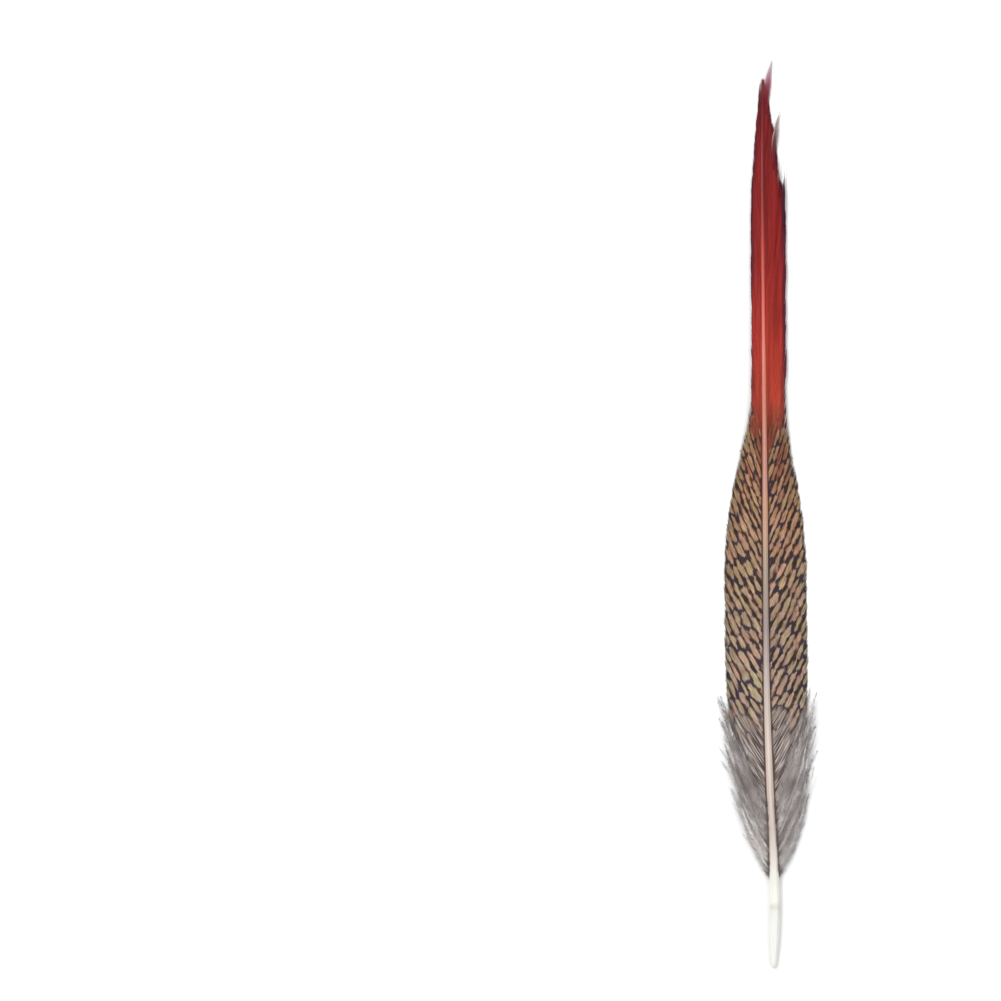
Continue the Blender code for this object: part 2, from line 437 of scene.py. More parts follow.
    def in_space(self, side: Side, out: Array, y: Array, z: Array) -> Array:
        """Points at a distance out from the shaft, along it, and a height."""
        sideways = self.read(self.shaft, 1, y, self.shaft_reach) + side.value * out
        return np.stack((sideways, y, z), axis=-1)


# ---------------------------------------------------------------- strands, copied from masters


@dataclass(frozen=True)
class Master:
    """One modelled strand, from which all strands of its kind are copied.

    Attributes:
        rings: How many cross sections it has, the last of which is its point.
        section: The cross section, as shares of its half width and half height.
    """

    rings: int
    section: tuple[tuple[float, float], ...]

    def model(self) -> bpy.types.Object:
        """Models the strand: a section that is extruded ring by ring and ends in a point.

        Returns:
            The strand, with its rings a unit apart.
        """
        deselect_all()
        bpy.ops.mesh.primitive_circle_add(vertices=len(self.section), fill_type="NGON")
        strand = bpy.context.object
        for vertex, (across, height) in zip(strand.data.vertices, self.section, strict=True):
            vertex.co = (across, 0.0, height)
        bpy.ops.object.mode_set(mode="EDIT")
        bpy.ops.mesh.select_all(action="SELECT")
        for _ in range(self.rings - 1):
            bpy.ops.mesh.extrude_region_move(TRANSFORM_OT_translate={"value": (0, 1, 0)})
        bpy.ops.mesh.merge(type="CENTER")
        bpy.ops.mesh.select_all(action="SELECT")
        bpy.ops.mesh.normals_make_consistent(inside=False)
        bpy.ops.object.mode_set(mode="OBJECT")
        return strand


BARB = Master(26, ((0, 1), (-0.34, 0.3), (-1, 0.0), (0, -0.5), (1, 0.0), (0.34, 0.3)))
RAMUS = Master(18, ((0, 1), (-1, 0), (0, -1), (1, 0)))
BARBULE = Master(3, ((0, 1), (-0.9, -0.5), (0.9, -0.5)))
SPIKE = Master(2, ((0, 1), (-0.9, -0.5), (0.9, -0.5)))


@dataclass
class Strands:
    """Lines that a master strand is laid along, in millimetres.

    Attributes:
        points: The lines, shaped (strands, rings, 3).
        up: The direction that the master's top turns to, of the same shape.
        half_width: The half width at each ring.
        half_height: The half height at each ring.
        marks: Values that the mesh keeps as attributes, each shaped (strands, rings).
        flow: The pattern's coordinates across and along the barbs, shaped (strands, rings, 2).
        flow_across: How much the first of them changes from a strand's middle to its edge.
        patches: Each strand's part of the baked texture, shaped (strands, 3, 2): its corner, its
            side along the strand and its side across it.
    """

    points: Array
    up: Array
    half_width: Array
    half_height: Array
    marks: dict[str, Array]
    flow: Array
    flow_across: Array
    patches: Array

    def lay(self, name: str, master: Master) -> bpy.types.Object:
        """Copies a master strand along every line, as one mesh.

        Args:
            name: The name of the new object.
            master: The strand to copy, which has as many rings as the lines have points.

        Returns:
            The new object.
        """
        model = master.model()
        source = model.data
        place = np.array([vertex.co for vertex in source.vertices])
        ring = np.rint(place[:, 1]).astype(int)
        corners = np.array([loop.vertex_index for loop in source.loops])
        sizes = np.array([len(face.loop_indices) for face in source.polygons])
        under = np.repeat([face.normal.z < -0.05 for face in source.polygons], sizes)
        bpy.data.objects.remove(model)
        bpy.data.meshes.remove(source)

        tangent = unit(np.gradient(self.points, axis=1))
        up = unit(self.up - np.sum(self.up * tangent, axis=-1, keepdims=True) * tangent)
        across = np.cross(tangent, up)
        spots = (
            self.points[:, ring]
            + across[:, ring] * (self.half_width[:, ring] * place[:, 0])[..., None]
            + up[:, ring] * (self.half_height[:, ring] * place[:, 2])[..., None]
        )
        spots[..., 2] = np.maximum(spots[..., 2], FLOOR_GAP)

        count = len(self.points)
        mesh = bpy.data.meshes.new(name)
        mesh.vertices.add(count * len(place))
        mesh.vertices.foreach_set("co", to_metres(spots).astype(np.float32).ravel())
        first = np.arange(count)[:, None]
        mesh.loops.add(count * len(corners))
        mesh.loops.foreach_set("vertex_index", (first * len(place) + corners).ravel())
        starts = np.concatenate(([0], np.cumsum(sizes)[:-1]))
        mesh.polygons.add(count * len(sizes))
        mesh.polygons.foreach_set("loop_start", (first * len(corners) + starts).ravel())
        mesh.update(calc_edges=True)
        mesh.shade_smooth()

        for mark, values in self.marks.items():
            kept = mesh.attributes.new(mark, "FLOAT", "POINT")
            kept.data.foreach_set("value", values[:, ring].astype(np.float32).ravel())
        flow = self.flow[:, ring].copy()
        flow[..., 0] += self.flow_across[:, ring] * place[:, 0]
        self.add_map(mesh, FLOW_MAP, flow[:, corners])
        self.add_map(mesh, BAKE_MAP, self.baked(master.rings, ring, place[:, 0], corners, under))
        thing = bpy.data.objects.new(name, mesh)
        bpy.context.scene.collection.objects.link(thing)
        return thing

    @staticmethod
    def add_map(mesh: bpy.types.Mesh, name: str, places: Array) -> None:
        """Adds a UV map with a place for every corner."""
        mesh.uv_layers.new(name=name).data.foreach_set("uv", places.astype(np.float32).ravel())

    def baked(self, rings: int, ring: Array, across: Array, corners: Array, under: Array) -> Array:
        """The places of the corners in the baked texture.

        Args:
            rings: How many rings the master has.
            ring: The ring of each of its vertices.
            across: How far across the strand each vertex is, from -1 to 1.
            corners: The vertex of each corner.
            under: Which corners are on the underside.

        Returns:
            The places, shaped (strands, corners, 2).
        """
        corner, along, wide = (self.patches[:, k][:, None, :] for k in range(3))
        run = (ring / (rings - 1))[corners][None, :, None]
        width = ((across + 1) / 2)[corners][None, :, None] + PATCH_UNDER * under[None, :, None]
        return corner + along * run + wide * width


def strand_marks(
    plan: FeatherPlan, side: Side, tones: Array, out: Array, y: Array
) -> dict[str, Array]:
    """The values that the finishes read from the strands.

    Args:
        plan: The feather's lines.
        side: The side of the shaft.
        tones: One value for each strand.
        out: The points' distances out from the shaft's middle.
        y: Their distances along it.

    Returns:
        The strand's tone, and how far each point is from the shaft's surface, from the web's
        edge, and out as a share of the web's width.
    """
    edge = np.maximum(plan.half_width(side, y), 0.5)
    return {
        "tone": repeated(tones, out.shape[1]),
        "beside": out - plan.shaft_at(y)[2],
        "inset": edge - out,
        "share": np.clip(out / edge, 0, 1.2),
    }


def patches(count: int, columns: int) -> Array:
    """Parts the baked texture among strands, column by column.

    Args:
        count: How many strands there are.
        columns: How many lie side by side.

    Returns:
        Each strand's corner, side along and side across, shaped (count, 3, 2).
    """
    index = np.arange(count)
    rows = math.ceil(count / columns)
    parts = np.zeros((count, 3, 2))
    parts[:, 0, 0] = (index % columns + PATCH_START[0]) / columns
    parts[:, 0, 1] = (index // columns + PATCH_START[1]) / rows
    parts[:, 1, 1] = PATCH_SIDES[1] / rows
    parts[:, 2, 0] = PATCH_SIDES[0] / columns
    return parts


# ---------------------------------------------------------------- nodes


class Wiring:
    """Adds nodes to one tree and links them."""

    def __init__(self, tree: bpy.types.NodeTree) -> None:
        """Keeps the tree that it works on."""
        self.tree = tree

    def node(self, kind: str, **settings: object) -> bpy.types.Node:
        """Adds a node and sets its options.

        Args:
            kind: The node's kind, without the word Shader before it.
            settings: Its options.

        Returns:
            The node.
        """
        made = self.tree.nodes.new("ShaderNode" + kind)
        for name, value in settings.items():
            setattr(made, name, value)
        return made

    def put(self, value: object, socket: Socket) -> None:
        """Links an output to a socket, or sets the socket to a value.

        Args:
            value: The output or the value.
            socket: The socket.
        """
        if isinstance(value, bpy.types.NodeSocket):
            self.tree.links.new(value, socket)
        else:
            socket.default_value = value

    def maths(self, operation: str, *values: object, clamp: bool = False) -> Socket:
        """The result of a Math node.

        Args:
            operation: What the node does.
            values: What it takes.
            clamp: Whether the result is kept between 0 and 1.

        Returns:
            The result.
        """
        made = self.node("Math", operation=operation, use_clamp=clamp)
        for value, socket in zip(values, made.inputs, strict=False):
            self.put(value, socket)
        return made.outputs[0]

    def times(self, value: object, factor: object) -> Socket:
        """The product of two values."""
        return self.maths("MULTIPLY", value, factor)

    def plus(self, value: object, other: object) -> Socket:
        """The sum of two values."""
        return self.maths("ADD", value, other)

    def minus(self, value: object, other: object) -> Socket:
        """The difference of two values."""
        return self.maths("SUBTRACT", value, other)

    def linear(self, value: object, slope: object, start: object) -> Socket:
        """The value times a slope, from a start."""
        return self.maths("MULTIPLY_ADD", value, slope, start)

    def swing(self, value: object, width: object, middle: object) -> Socket:
        """Swings to both sides of a middle with a value that lies about 0.5."""
        return self.linear(self.minus(value, 0.5), width, middle)

    def step(self, value: object, start: object, end: object) -> Socket:
        """Rises smoothly from 0 to 1 as the value goes from start to end.

        Args:
            value: The value.
            start: Where the rise starts.
            end: Where it ends, above the start or below it.

        Returns:
            The height.
        """
        made = self.node("MapRange", interpolation_type="SMOOTHSTEP")
        for given, socket in zip((value, start, end), made.inputs, strict=False):
            self.put(given, socket)
        return made.outputs[0]

    def blend(self, share: object, low: object, high: object, way: str = "MIX") -> Socket:
        """Mixes two colours by a share.

        Args:
            share: The share of the second colour.
            low: The first colour.
            high: The second colour.
            way: The way of mixing.

        Returns:
            The mixed colour.
        """
        made = self.node("Mix", data_type="RGBA", blend_type=way)
        self.put(share, made.inputs[0])
        self.put(low, made.inputs[6])
        self.put(high, made.inputs[7])
        return made.outputs[2]

    def tint(self, colour: Socket, other: object) -> Socket:
        """A colour multiplied by another."""
        return self.blend(1.0, colour, other, "MULTIPLY")

    def shade(self, colour: Socket, value: object, slope: float, start: float) -> Socket:
        """A colour multiplied by the value times a slope, from a start."""
        level = self.linear(value, slope, start)
        return self.tint(colour, self.vector(level, level, level))

    def ramp(self, value: Socket, stops: Sequence[tuple[float, Sequence[float]]]) -> Socket:
        """Reads a colour from stops along 0 to 1.

        Args:
            value: Where to read it.
            stops: Places from 0 to 1, each with its colour.

        Returns:
            The colour.
        """
        made = self.node("ValToRGB")
        points = made.color_ramp.elements
        while len(points) < len(stops):
            points.new(0.5)
        for point, (place, colour) in zip(points, stops, strict=True):
            point.position = place
            point.color = colour
        self.put(value, made.inputs[0])
        return made.outputs[0]

    def ramp_along(self, along: Socket, stops: Sequence[tuple[float, Sequence[float]]]) -> Socket:
        """Reads a colour from stops along the feather, in millimetres."""
        share = self.maths("DIVIDE", along, LENGTH, clamp=True)
        return self.ramp(share, [(y / LENGTH, colour) for y, colour in stops])

    def noise(
        self, vector: object, scale: float, detail: float = 2.0, flat: bool = False
    ) -> Socket:
        """The value of a Noise texture, about 0.5.

        Args:
            vector: Where it is read.
            scale: Its scale.
            detail: Its detail.
            flat: Whether it is read in two dimensions.

        Returns:
            The value.
        """
        made = self.node("TexNoise", noise_dimensions="2D" if flat else "3D")
        made.inputs["Scale"].default_value = scale
        made.inputs["Detail"].default_value = detail
        self.put(vector, made.inputs["Vector"])
        return made.outputs[0]

    def noises(self, vector: object, scale: float) -> Socket:
        """Three even noises in one colour, over a flat pattern.

        Args:
            vector: Where it is read.
            scale: Their scale.

        Returns:
            The colour.
        """
        made = self.node("TexNoise", noise_dimensions="2D")
        made.inputs["Scale"].default_value = scale
        self.put(vector, made.inputs["Vector"])
        return made.outputs["Color"]

    def scatter(self, vector: object) -> Socket:
        """Three random values in one colour, which differ between whole numbers.

        Args:
            vector: Where it is read.

        Returns:
            The colour.
        """
        made = self.node("TexWhiteNoise", noise_dimensions="2D")
        self.put(vector, made.inputs["Vector"])
        return made.outputs["Color"]

    def shades(self, colour: Socket) -> tuple[Socket, ...]:
        """The three values that a colour is made of.

        Args:
            colour: The colour.

        Returns:
            Its red, green and blue.
        """
        made = self.node("SeparateColor")
        self.put(colour, made.inputs[0])
        return tuple(made.outputs[:3])

    def mark(self, name: str) -> Socket:
        """The value of a mesh attribute."""
        return self.node("Attribute", attribute_name=name).outputs["Fac"]

    def flow(self) -> Socket:
        """The pattern's coordinates."""
        return self.node("UVMap", uv_map=FLOW_MAP).outputs[0]

    def place(self) -> Socket:
        """The place in the frame, in metres."""
        return self.node("TexCoord").outputs["Object"]

    def along(self, place: Socket) -> Socket:
        """The distance of a place from the quill's end, in millimetres."""
        return self.linear(self.axis(place, 1), 1 / MM, LENGTH / 2)

    def axis(self, vector: Socket, index: int) -> Socket:
        """One coordinate of a vector.

        Args:
            vector: The vector.
            index: Which coordinate.

        Returns:
            Its value.
        """
        made = self.node("SeparateXYZ")
        self.put(vector, made.inputs[0])
        return made.outputs[index]

    def vector(self, *parts: object) -> Socket:
        """A vector from its coordinates.

        Args:
            parts: The first coordinates, the others are 0.

        Returns:
            The vector.
        """
        made = self.node("CombineXYZ")
        for part, socket in zip(parts, made.inputs, strict=False):
            self.put(part, socket)
        return made.outputs[0]

    def use(self, group: bpy.types.NodeTree, **values: object) -> bpy.types.Node:
        """Places a node group and sets its inputs by name.

        Args:
            group: The group.
            values: Outputs or values by input.

        Returns:
            The group's node.
        """
        made = self.node("Group", node_tree=group)
        for name, value in values.items():
            self.put(value, made.inputs[name.replace("_", " ")])
        return made


LIGHT_LEVEL = 1.12  # how much brighter a surface looks than its own colour
GLOSS = 0.014  # how much light its gloss adds to it
DARKEST = 0.003  # the least that a surface colour reflects


def paint(red: float, green: float, blue: float) -> tuple[float, float, float, float]:
    """A surface colour from the way it looks, in parts of 255 on the screen's curve.

    Args:
        red: How red it looks.
        green: How green.
        blue: How blue.

    Returns:
        The colour that a shader takes.
    """
    linear = []
    for part in (red / 255, green / 255, blue / 255):
        value = part / 12.92 if part <= 0.04045 else ((part + 0.055) / 1.055) ** 2.4
        linear.append(min(max(value / LIGHT_LEVEL - GLOSS, DARKEST), 1.0))
    return (*linear, 1.0)


def new_group(
    name: str, inputs: dict[str, object], outputs: Sequence[tuple[str, str]]
) -> tuple[bpy.types.NodeTree, Wiring, dict[str, Socket], dict[str, Socket]]:
    """Starts a node group.

    Args:
        name: The group's name.
        inputs: Names with their first values; None stands for a vector.
        outputs: Names with their kinds of socket, Float or Color.

    Returns:
        The group, its wiring, and its inner sockets by name: what comes in and what goes out.
    """
    tree = bpy.data.node_groups.new(name, "ShaderNodeTree")
    for label, value in inputs.items():
        kind = "NodeSocketVector" if value is None else "NodeSocketFloat"
        socket = tree.interface.new_socket(name=label, in_out="INPUT", socket_type=kind)
        if value is not None:
            socket.default_value = value
    for label, kind in outputs:
        tree.interface.new_socket(name=label, in_out="OUTPUT", socket_type="NodeSocket" + kind)
    coming = tree.nodes.new("NodeGroupInput")
    going = tree.nodes.new("NodeGroupOutput")
    inside = {label: coming.outputs[label] for label in inputs}
    outside = {label: going.inputs[label] for label, _ in outputs}
    return tree, Wiring(tree), inside, outside


class Effects:
    """The shader effects that more than one finish uses, each built once."""

    def __init__(self) -> None:
        """Builds the groups."""
        self.along = self.make_along()
        self.cells = self.make_cells()
        self.streaks = self.make_streaks()
        self.relief = self.make_relief()

    def streak(self, wires: Wiring, flow: Socket, across: float, along: float) -> Socket:
        """Soft streaks in a material, about 0.5.

        Args:
            wires: The material's wiring.
            flow: The coordinates that the streaks follow.
            across: Their width.
            along: Their length.

        Returns:
            How far the streaks go at each place.
        """
        return wires.use(self.streaks, Flow=flow, Across=across, Along=along).outputs[0]

    @staticmethod
    def make_along() -> bpy.types.NodeTree:
        """The distance from the quill's end, which wanders from barb to barb.

        Returns:
            The group.
        """
        tree, wires, given, out = new_group(
            "distance_along", {"Place": None, "Flow": None, "Wander": 2.0}, [("Along", "Float")]
        )
        along = wires.along(given["Place"])
        coarse = wires.noise(given["Place"], 330.0)
        squeezed = wires.node("VectorMath", operation="MULTIPLY")
        wires.put(given["Flow"], squeezed.inputs[0])
        squeezed.inputs[1].default_value = (2.6, 0.05, 1.0)
        fine = wires.noise(squeezed.outputs[0], 1.0, 1.0, flat=True)
        both = wires.plus(coarse, fine)
        shift = wires.times(wires.minus(both, 1.0), given["Wander"])
        wires.put(wires.linear(shift, 2.0, along), out["Along"])
        return tree

    @staticmethod
    def make_cells() -> bpy.types.NodeTree:
        """Rows of long cells that lie along the barbs and narrow towards their ends.

        Border is how far a place is from its cell's border, in millimetres. Ending rises from 0
        to 1 towards the cell's end, and Bar is how strong the bar at that end is. Tone and Tint
        are even over a cell and differ between cells.

        Returns:
            The group.
        """
        tree, wires, given, out = new_group(
            "cells_along_barbs",
            {"Flow": None, "Width": 2.2, "Length": 5.8, "Sway": 0.8, "Slip": 0.9, "Taper": 1.8},
            [(name, "Float") for name in ("Border", "Ending", "Bar", "Tone", "Tint")],
        )
        rows = wires.axis(given["Flow"], 0)
        lengths = wires.maths("DIVIDE", wires.axis(given["Flow"], 1), given["Length"])
        sways = wires.shades(wires.noises(wires.vector(rows, lengths, 0.0), 0.62))
        rows = wires.swing(sways[0], given["Sway"], rows)
        row = wires.maths("FLOOR", rows)
        shift = wires.shades(wires.scatter(wires.vector(row, 0.5, 0.0)))[0]
        every_second = wires.times(wires.maths("PINGPONG", row, 1.0), 0.5)
        shift = wires.linear(shift, 0.5, every_second)
        slip = wires.times(wires.minus(sways[1], 0.5), given["Slip"])
        lengths = wires.plus(wires.plus(lengths, slip), shift)
        tones = wires.shades(wires.scatter(wires.vector(row, wires.maths("FLOOR", lengths), 0.0)))
        wires.put(tones[0], out["Tone"])
        wires.put(tones[1], out["Tint"])

        end = wires.vector(row, wires.maths("ROUND", lengths), 0.0)
        bar = wires.shades(wires.scatter(end))[2]
        ahead = wires.times(wires.maths("PINGPONG", lengths, 0.5), given["Length"])
        ending = wires.minus(1.0, wires.maths("DIVIDE", ahead, given["Taper"], clamp=True))
        aside = wires.times(wires.maths("PINGPONG", rows, 0.5), given["Width"])
        closing = wires.linear(bar, 0.45, 0.16)
        closing = wires.times(closing, given["Width"])
        narrowed = wires.times(wires.maths("POWER", ending, 2.2), closing)
        wires.put(wires.minus(aside, narrowed), out["Border"])
        wires.put(ending, out["Ending"])
        wires.put(bar, out["Bar"])
        return tree

    @staticmethod
    def make_streaks() -> bpy.types.NodeTree:
        """Soft streaks that follow the barbs, about 0.5.

        Returns:
            The group.
        """
        tree, wires, given, out = new_group(
            "streaks_along_barbs",
            {"Flow": None, "Across": 0.3, "Along": 8.0},
            [("Streak", "Float")],
        )
        across = wires.maths("DIVIDE", wires.axis(given["Flow"], 0), given["Across"])
        along = wires.maths("DIVIDE", wires.axis(given["Flow"], 1), given["Along"])
        spot = wires.vector(across, along, 0.0)
        wires.put(wires.noise(spot, 1.0, flat=True), out["Streak"])
        return tree

    @staticmethod
    def make_relief() -> bpy.types.NodeTree:
        """The fine relief of barbules, which slant off the barbs to both sides.

        Returns:
            The group.
        """
        tree, wires, given, out = new_group(
            "barbule_relief", {"Flow": None, "Pitch": 0.12}, [("Height", "Float")]
        )
        across = wires.maths("ABSOLUTE", wires.axis(given["Flow"], 0))
        slanted = wires.plus(wires.axis(given["Flow"], 1), across)
        turns = wires.maths("DIVIDE", slanted, given["Pitch"])
        wave = wires.maths("SINE", wires.times(turns, 2 * math.pi))
        wires.put(wires.linear(wave, 0.5, 0.5), out["Height"])
        return tree


@dataclass(frozen=True)
class Finish:
    """A material with a Principled shader, to be dressed by its kind.

    Attributes:
        name: The material's name.
        effects: The effects that the finishes share.
    """

    name: str
    effects: Effects

    def start(self) -> tuple[bpy.types.Material, Wiring, bpy.types.Node]:
        """Starts the material.

        Returns:
            The material, its wiring and its shader.
        """
        made = bpy.data.materials.new(self.name)
        made.use_nodes = True
        wires = Wiring(made.node_tree)
        return made, wires, made.node_tree.nodes["Principled BSDF"]

    @staticmethod
    def bump(
        wires: Wiring, shader: bpy.types.Node, height: Socket, strength: float, depth: float
    ) -> None:
        """Gives a shader a relief.

        Args:
            wires: The material's wiring.
            shader: The shader.
            height: The relief's height, from 0 to 1.
            strength: How strongly it shows.
            depth: Its depth in millimetres.
        """
        made = wires.node("Bump")
        made.inputs["Strength"].default_value = strength
        made.inputs["Distance"].default_value = depth * MM
        wires.put(height, made.inputs["Height"])
        wires.put(made.outputs[0], shader.inputs["Normal"])


@dataclass(frozen=True)
class WebFinish(Finish):
    """The web: grey at the base, then buff cells between dark bars, then red to the tip.

    Attributes:
        roughness: The roughness of the barbs.
        gloss: The specular level of the barbs.
        line: How far from its border a cell turns from the dark line's colour to its own.
        soft_line: How far from its border a cell's own colour is shaded.
        barred_from: Where the grey base gives way to the bars.
        red_from: Where the bars give way to red beside the shaft.
        lag: How much farther from the quill they do so at the web's edge.
        margin: How far from the edge the red turns purple.
        margin_until: Where along the feather that purple fades.
        reds: The red web's colour along the feather.
        shifts: What the barred web's colour is multiplied by along the feather.
    """

    roughness: float = 0.6
    gloss: float = 0.3
    line: tuple[float, float] = (0.12, 0.46)
    soft_line: tuple[float, float] = (0.2, 0.75)
    barred_from: tuple[float, float] = (67.0, 76.0)
    red_from: tuple[float, float] = (147.0, 151.0)
    lag: float = 11.5
    margin: tuple[float, float] = (1.5, 0.35)
    margin_until: tuple[float, float] = (252.0, 236.0)
    reds: tuple[tuple[float, Colour], ...] = (
        (146.0, (120, 66, 55)),
        (156.0, (132, 68, 53)),
        (164.0, (176, 71, 56)),
        (182.0, (176, 62, 51)),
        (204.0, (156, 50, 46)),
        (222.0, (138, 44, 43)),
        (240.0, (134, 44, 44)),
        (251.5, (124, 42, 45)),
        (256.0, (156, 82, 74)),
        (264.0, (160, 90, 82)),
    )
    shifts: tuple[tuple[float, Colour], ...] = (
        (80.0, (0.99, 1.08, 1.18)),
        (100.0, (0.90, 0.95, 0.98)),
        (124.0, (0.98, 0.93, 0.86)),
        (146.0, (1.00, 0.84, 0.68)),
    )

    def bars(self, wires: Wiring, flow: Socket, cells: dict[str, Socket], along: Socket) -> Socket:
        """The buff cells and the dark lines between them.

        Args:
            wires: The material's wiring.
            flow: The pattern's coordinates.
            cells: What the group of cells gives.
            along: The distance from the quill's end.

        Returns:
            The colour.
        """
        patchy = wires.noise(wires.place(), 230.0)
        mottled = wires.noise(wires.place(), 760.0)
        tint = wires.linear(patchy, 1.6, -0.97)
        tint = wires.linear(mottled, 0.9, tint)
        tint = wires.linear(cells["Tint"], 0.45, tint)
        buff = wires.ramp(
            tint,
            (
                (0.0, paint(174, 156, 122)),
                (0.3, paint(180, 154, 122)),
                (0.6, paint(180, 148, 126)),
                (0.8, paint(184, 142, 128)),
                (1.0, paint(198, 154, 108)),
            ),
        )
        buff = wires.shade(buff, cells["Tone"], 0.30, 0.77)
        lilac = wires.times(wires.step(cells["Ending"], 0.15, 0.7), 0.5)
        buff = wires.blend(lilac, buff, paint(178, 154, 148))
        ruddy = wires.step(cells["Tint"], 0.45, 0.7)
        ruddy = wires.times(wires.step(along, 128.0, 146.0), ruddy)
        buff = wires.blend(wires.times(ruddy, 0.6), buff, paint(140, 84, 68))
        streak = self.effects.streak(wires, flow, 0.13, 2.5)
        buff = wires.shade(buff, streak, 1.5, 0.27)
        outer = wires.step(wires.mark("inset"), 2.6, 0.4)
        fine = wires.step(streak, 0.42, 0.62)
        pale = wires.blend(fine, paint(112, 104, 84), paint(176, 168, 138))
        buff = wires.blend(wires.times(outer, 0.55), buff, pale)

        unevenly = wires.linear(streak, 0.8, cells["Border"])
        unevenly = wires.linear(mottled, 0.5, unevenly)
        spread = wires.noise(wires.place(), 420.0)
        border = wires.linear(spread, -1.25, unevenly)
        blot = wires.times(cells["Ending"], wires.step(cells["Bar"], 0.3, 0.8))
        blot = wires.step(blot, 0.15, 0.6)
        brown = wires.blend(wires.step(spread, 0.4, 0.6), paint(84, 52, 30), paint(58, 48, 40))
        dark = wires.blend(blot, brown, paint(64, 54, 62))
        shadow = wires.tint(buff, paint(206, 194, 188))
        buff = wires.blend(wires.step(border, *self.soft_line), shadow, buff)
        return wires.blend(wires.step(border, *self.line), dark, buff)

    def red(self, wires: Wiring, along: Socket, flow: Socket) -> Socket:
        """The red of the upper web, with dark purple margins.

        Args:
            wires: The material's wiring.
            along: The distance from the quill's end.
            flow: The pattern's coordinates.

        Returns:
            The colour.
        """
        red = wires.ramp_along(along, [(y, paint(*colour)) for y, colour in self.reds])
        upright = wires.node("VectorMath", operation="SCALE")
        wires.put(wires.place(), upright.inputs[0])
        upright.inputs["Scale"].default_value = 1 / MM
        straight = upright.outputs[0]
        streak = self.effects.streak(wires, straight, 0.8, 22.0)
        red = wires.shade(red, streak, 1.0, 0.5)
        fine = self.effects.streak(wires, flow, 0.12, 9.0)
        red = wires.shade(red, fine, 0.4, 0.8)
        broad = self.effects.streak(wires, straight, 1.7, 34.0)
        maroon = wires.tint(red, paint(236, 214, 236))
        upper = wires.step(along, 172.0, 194.0)
        upper = wires.times(upper, wires.step(broad, 0.42, 0.62))
        red = wires.blend(upper, red, maroon)
        edge = wires.linear(streak, 1.2, wires.minus(wires.mark("inset"), 0.6))
        left = wires.step(wires.axis(flow, 0), LEFT_ROWS - 20, LEFT_ROWS - 10)
        edge = wires.linear(left, 0.45, edge)
        purple = wires.linear(wires.step(along, *self.margin_until), 0.6, 0.25)
        purple = wires.times(wires.step(edge, *self.margin), purple)
        return wires.blend(purple, red, paint(82, 34, 54))

    def make(self) -> bpy.types.Material:
        """Makes the material.

        Returns:
            The material.
        """
        made, wires, shader = self.start()
        flow, place = wires.flow(), wires.place()
        along = wires.use(self.effects.along, Place=place, Flow=flow, Wander=2.5).outputs[0]
        tone = wires.mark("tone")
        cells = wires.use(self.effects.cells, Flow=flow).outputs

        barred = self.bars(wires, flow, cells, along)
        # A dark band beside the shaft: partly the barbs' own dark bases, partly painted shadow
        # where the shaft's edge shades the web.
        blots = wires.noise(place, 210.0)
        band = wires.linear(blots, -2.4, wires.mark("beside"))
        flank = wires.blend(wires.step(blots, 0.5, 0.62), paint(78, 56, 46), paint(64, 52, 64))
        dark_bases_and_shade = wires.times(wires.step(wires.mark("beside"), 0.7, 0.3), 0.8)
        dark_bases_and_shade = wires.maths("MAXIMUM", wires.step(band, -0.6, -1.1), dark_bases_and_shade)
        barred = wires.blend(dark_bases_and_shade, barred, flank)
        shift = wires.ramp_along(along, [(y, (*colour, 1.0)) for y, colour in self.shifts])
        barred = wires.tint(barred, shift)
        lagging = wires.linear(wires.mark("share"), -self.lag, along)
        flecked = wires.swing(cells["Tone"], 9.0, lagging)
        fringed = self.effects.streak(wires, flow, 0.35, 6.0)
        flecked = wires.swing(fringed, 30.0, flecked)
        colour = wires.blend(
            wires.step(flecked, *self.red_from), barred, self.red(wires, along, flow)
        )
        streak = self.effects.streak(wires, flow, 0.16, 7.0)
        low = wires.ramp(
            streak,
            (
                (0.34, paint(74, 62, 58)),
                (0.5, paint(130, 118, 114)),
                (0.64, paint(184, 174, 168)),
            ),
        )
        # The same band beside the shaft over the grey base: own dark bases and painted shadow.
        low = wires.blend(dark_bases_and_shade, low, paint(92, 70, 60))
        begun = wires.linear(cells["Tone"], 7.0, wires.minus(along, 3.5))
        colour = wires.blend(wires.step(begun, *self.barred_from), low, colour)
        colour = wires.shade(colour, tone, 0.16, 0.92)
        under = wires.node("NewGeometry").outputs["Normal"]
        below = wires.step(wires.axis(under, 2), -0.05, -0.4)
        colour = wires.blend(wires.times(below, 0.35), colour, paint(188, 168, 160))
        wires.put(colour, shader.inputs["Base Color"])

        rough = wires.noise(place, 900.0)
        rough = wires.linear(rough, 0.3, self.roughness - 0.15)
        wires.put(rough, shader.inputs["Roughness"])
        shader.inputs["Specular IOR Level"].default_value = self.gloss
        height = wires.use(self.effects.relief, Flow=flow).outputs[0]
        self.bump(wires, shader, height, 0.4, 0.03)
        return made


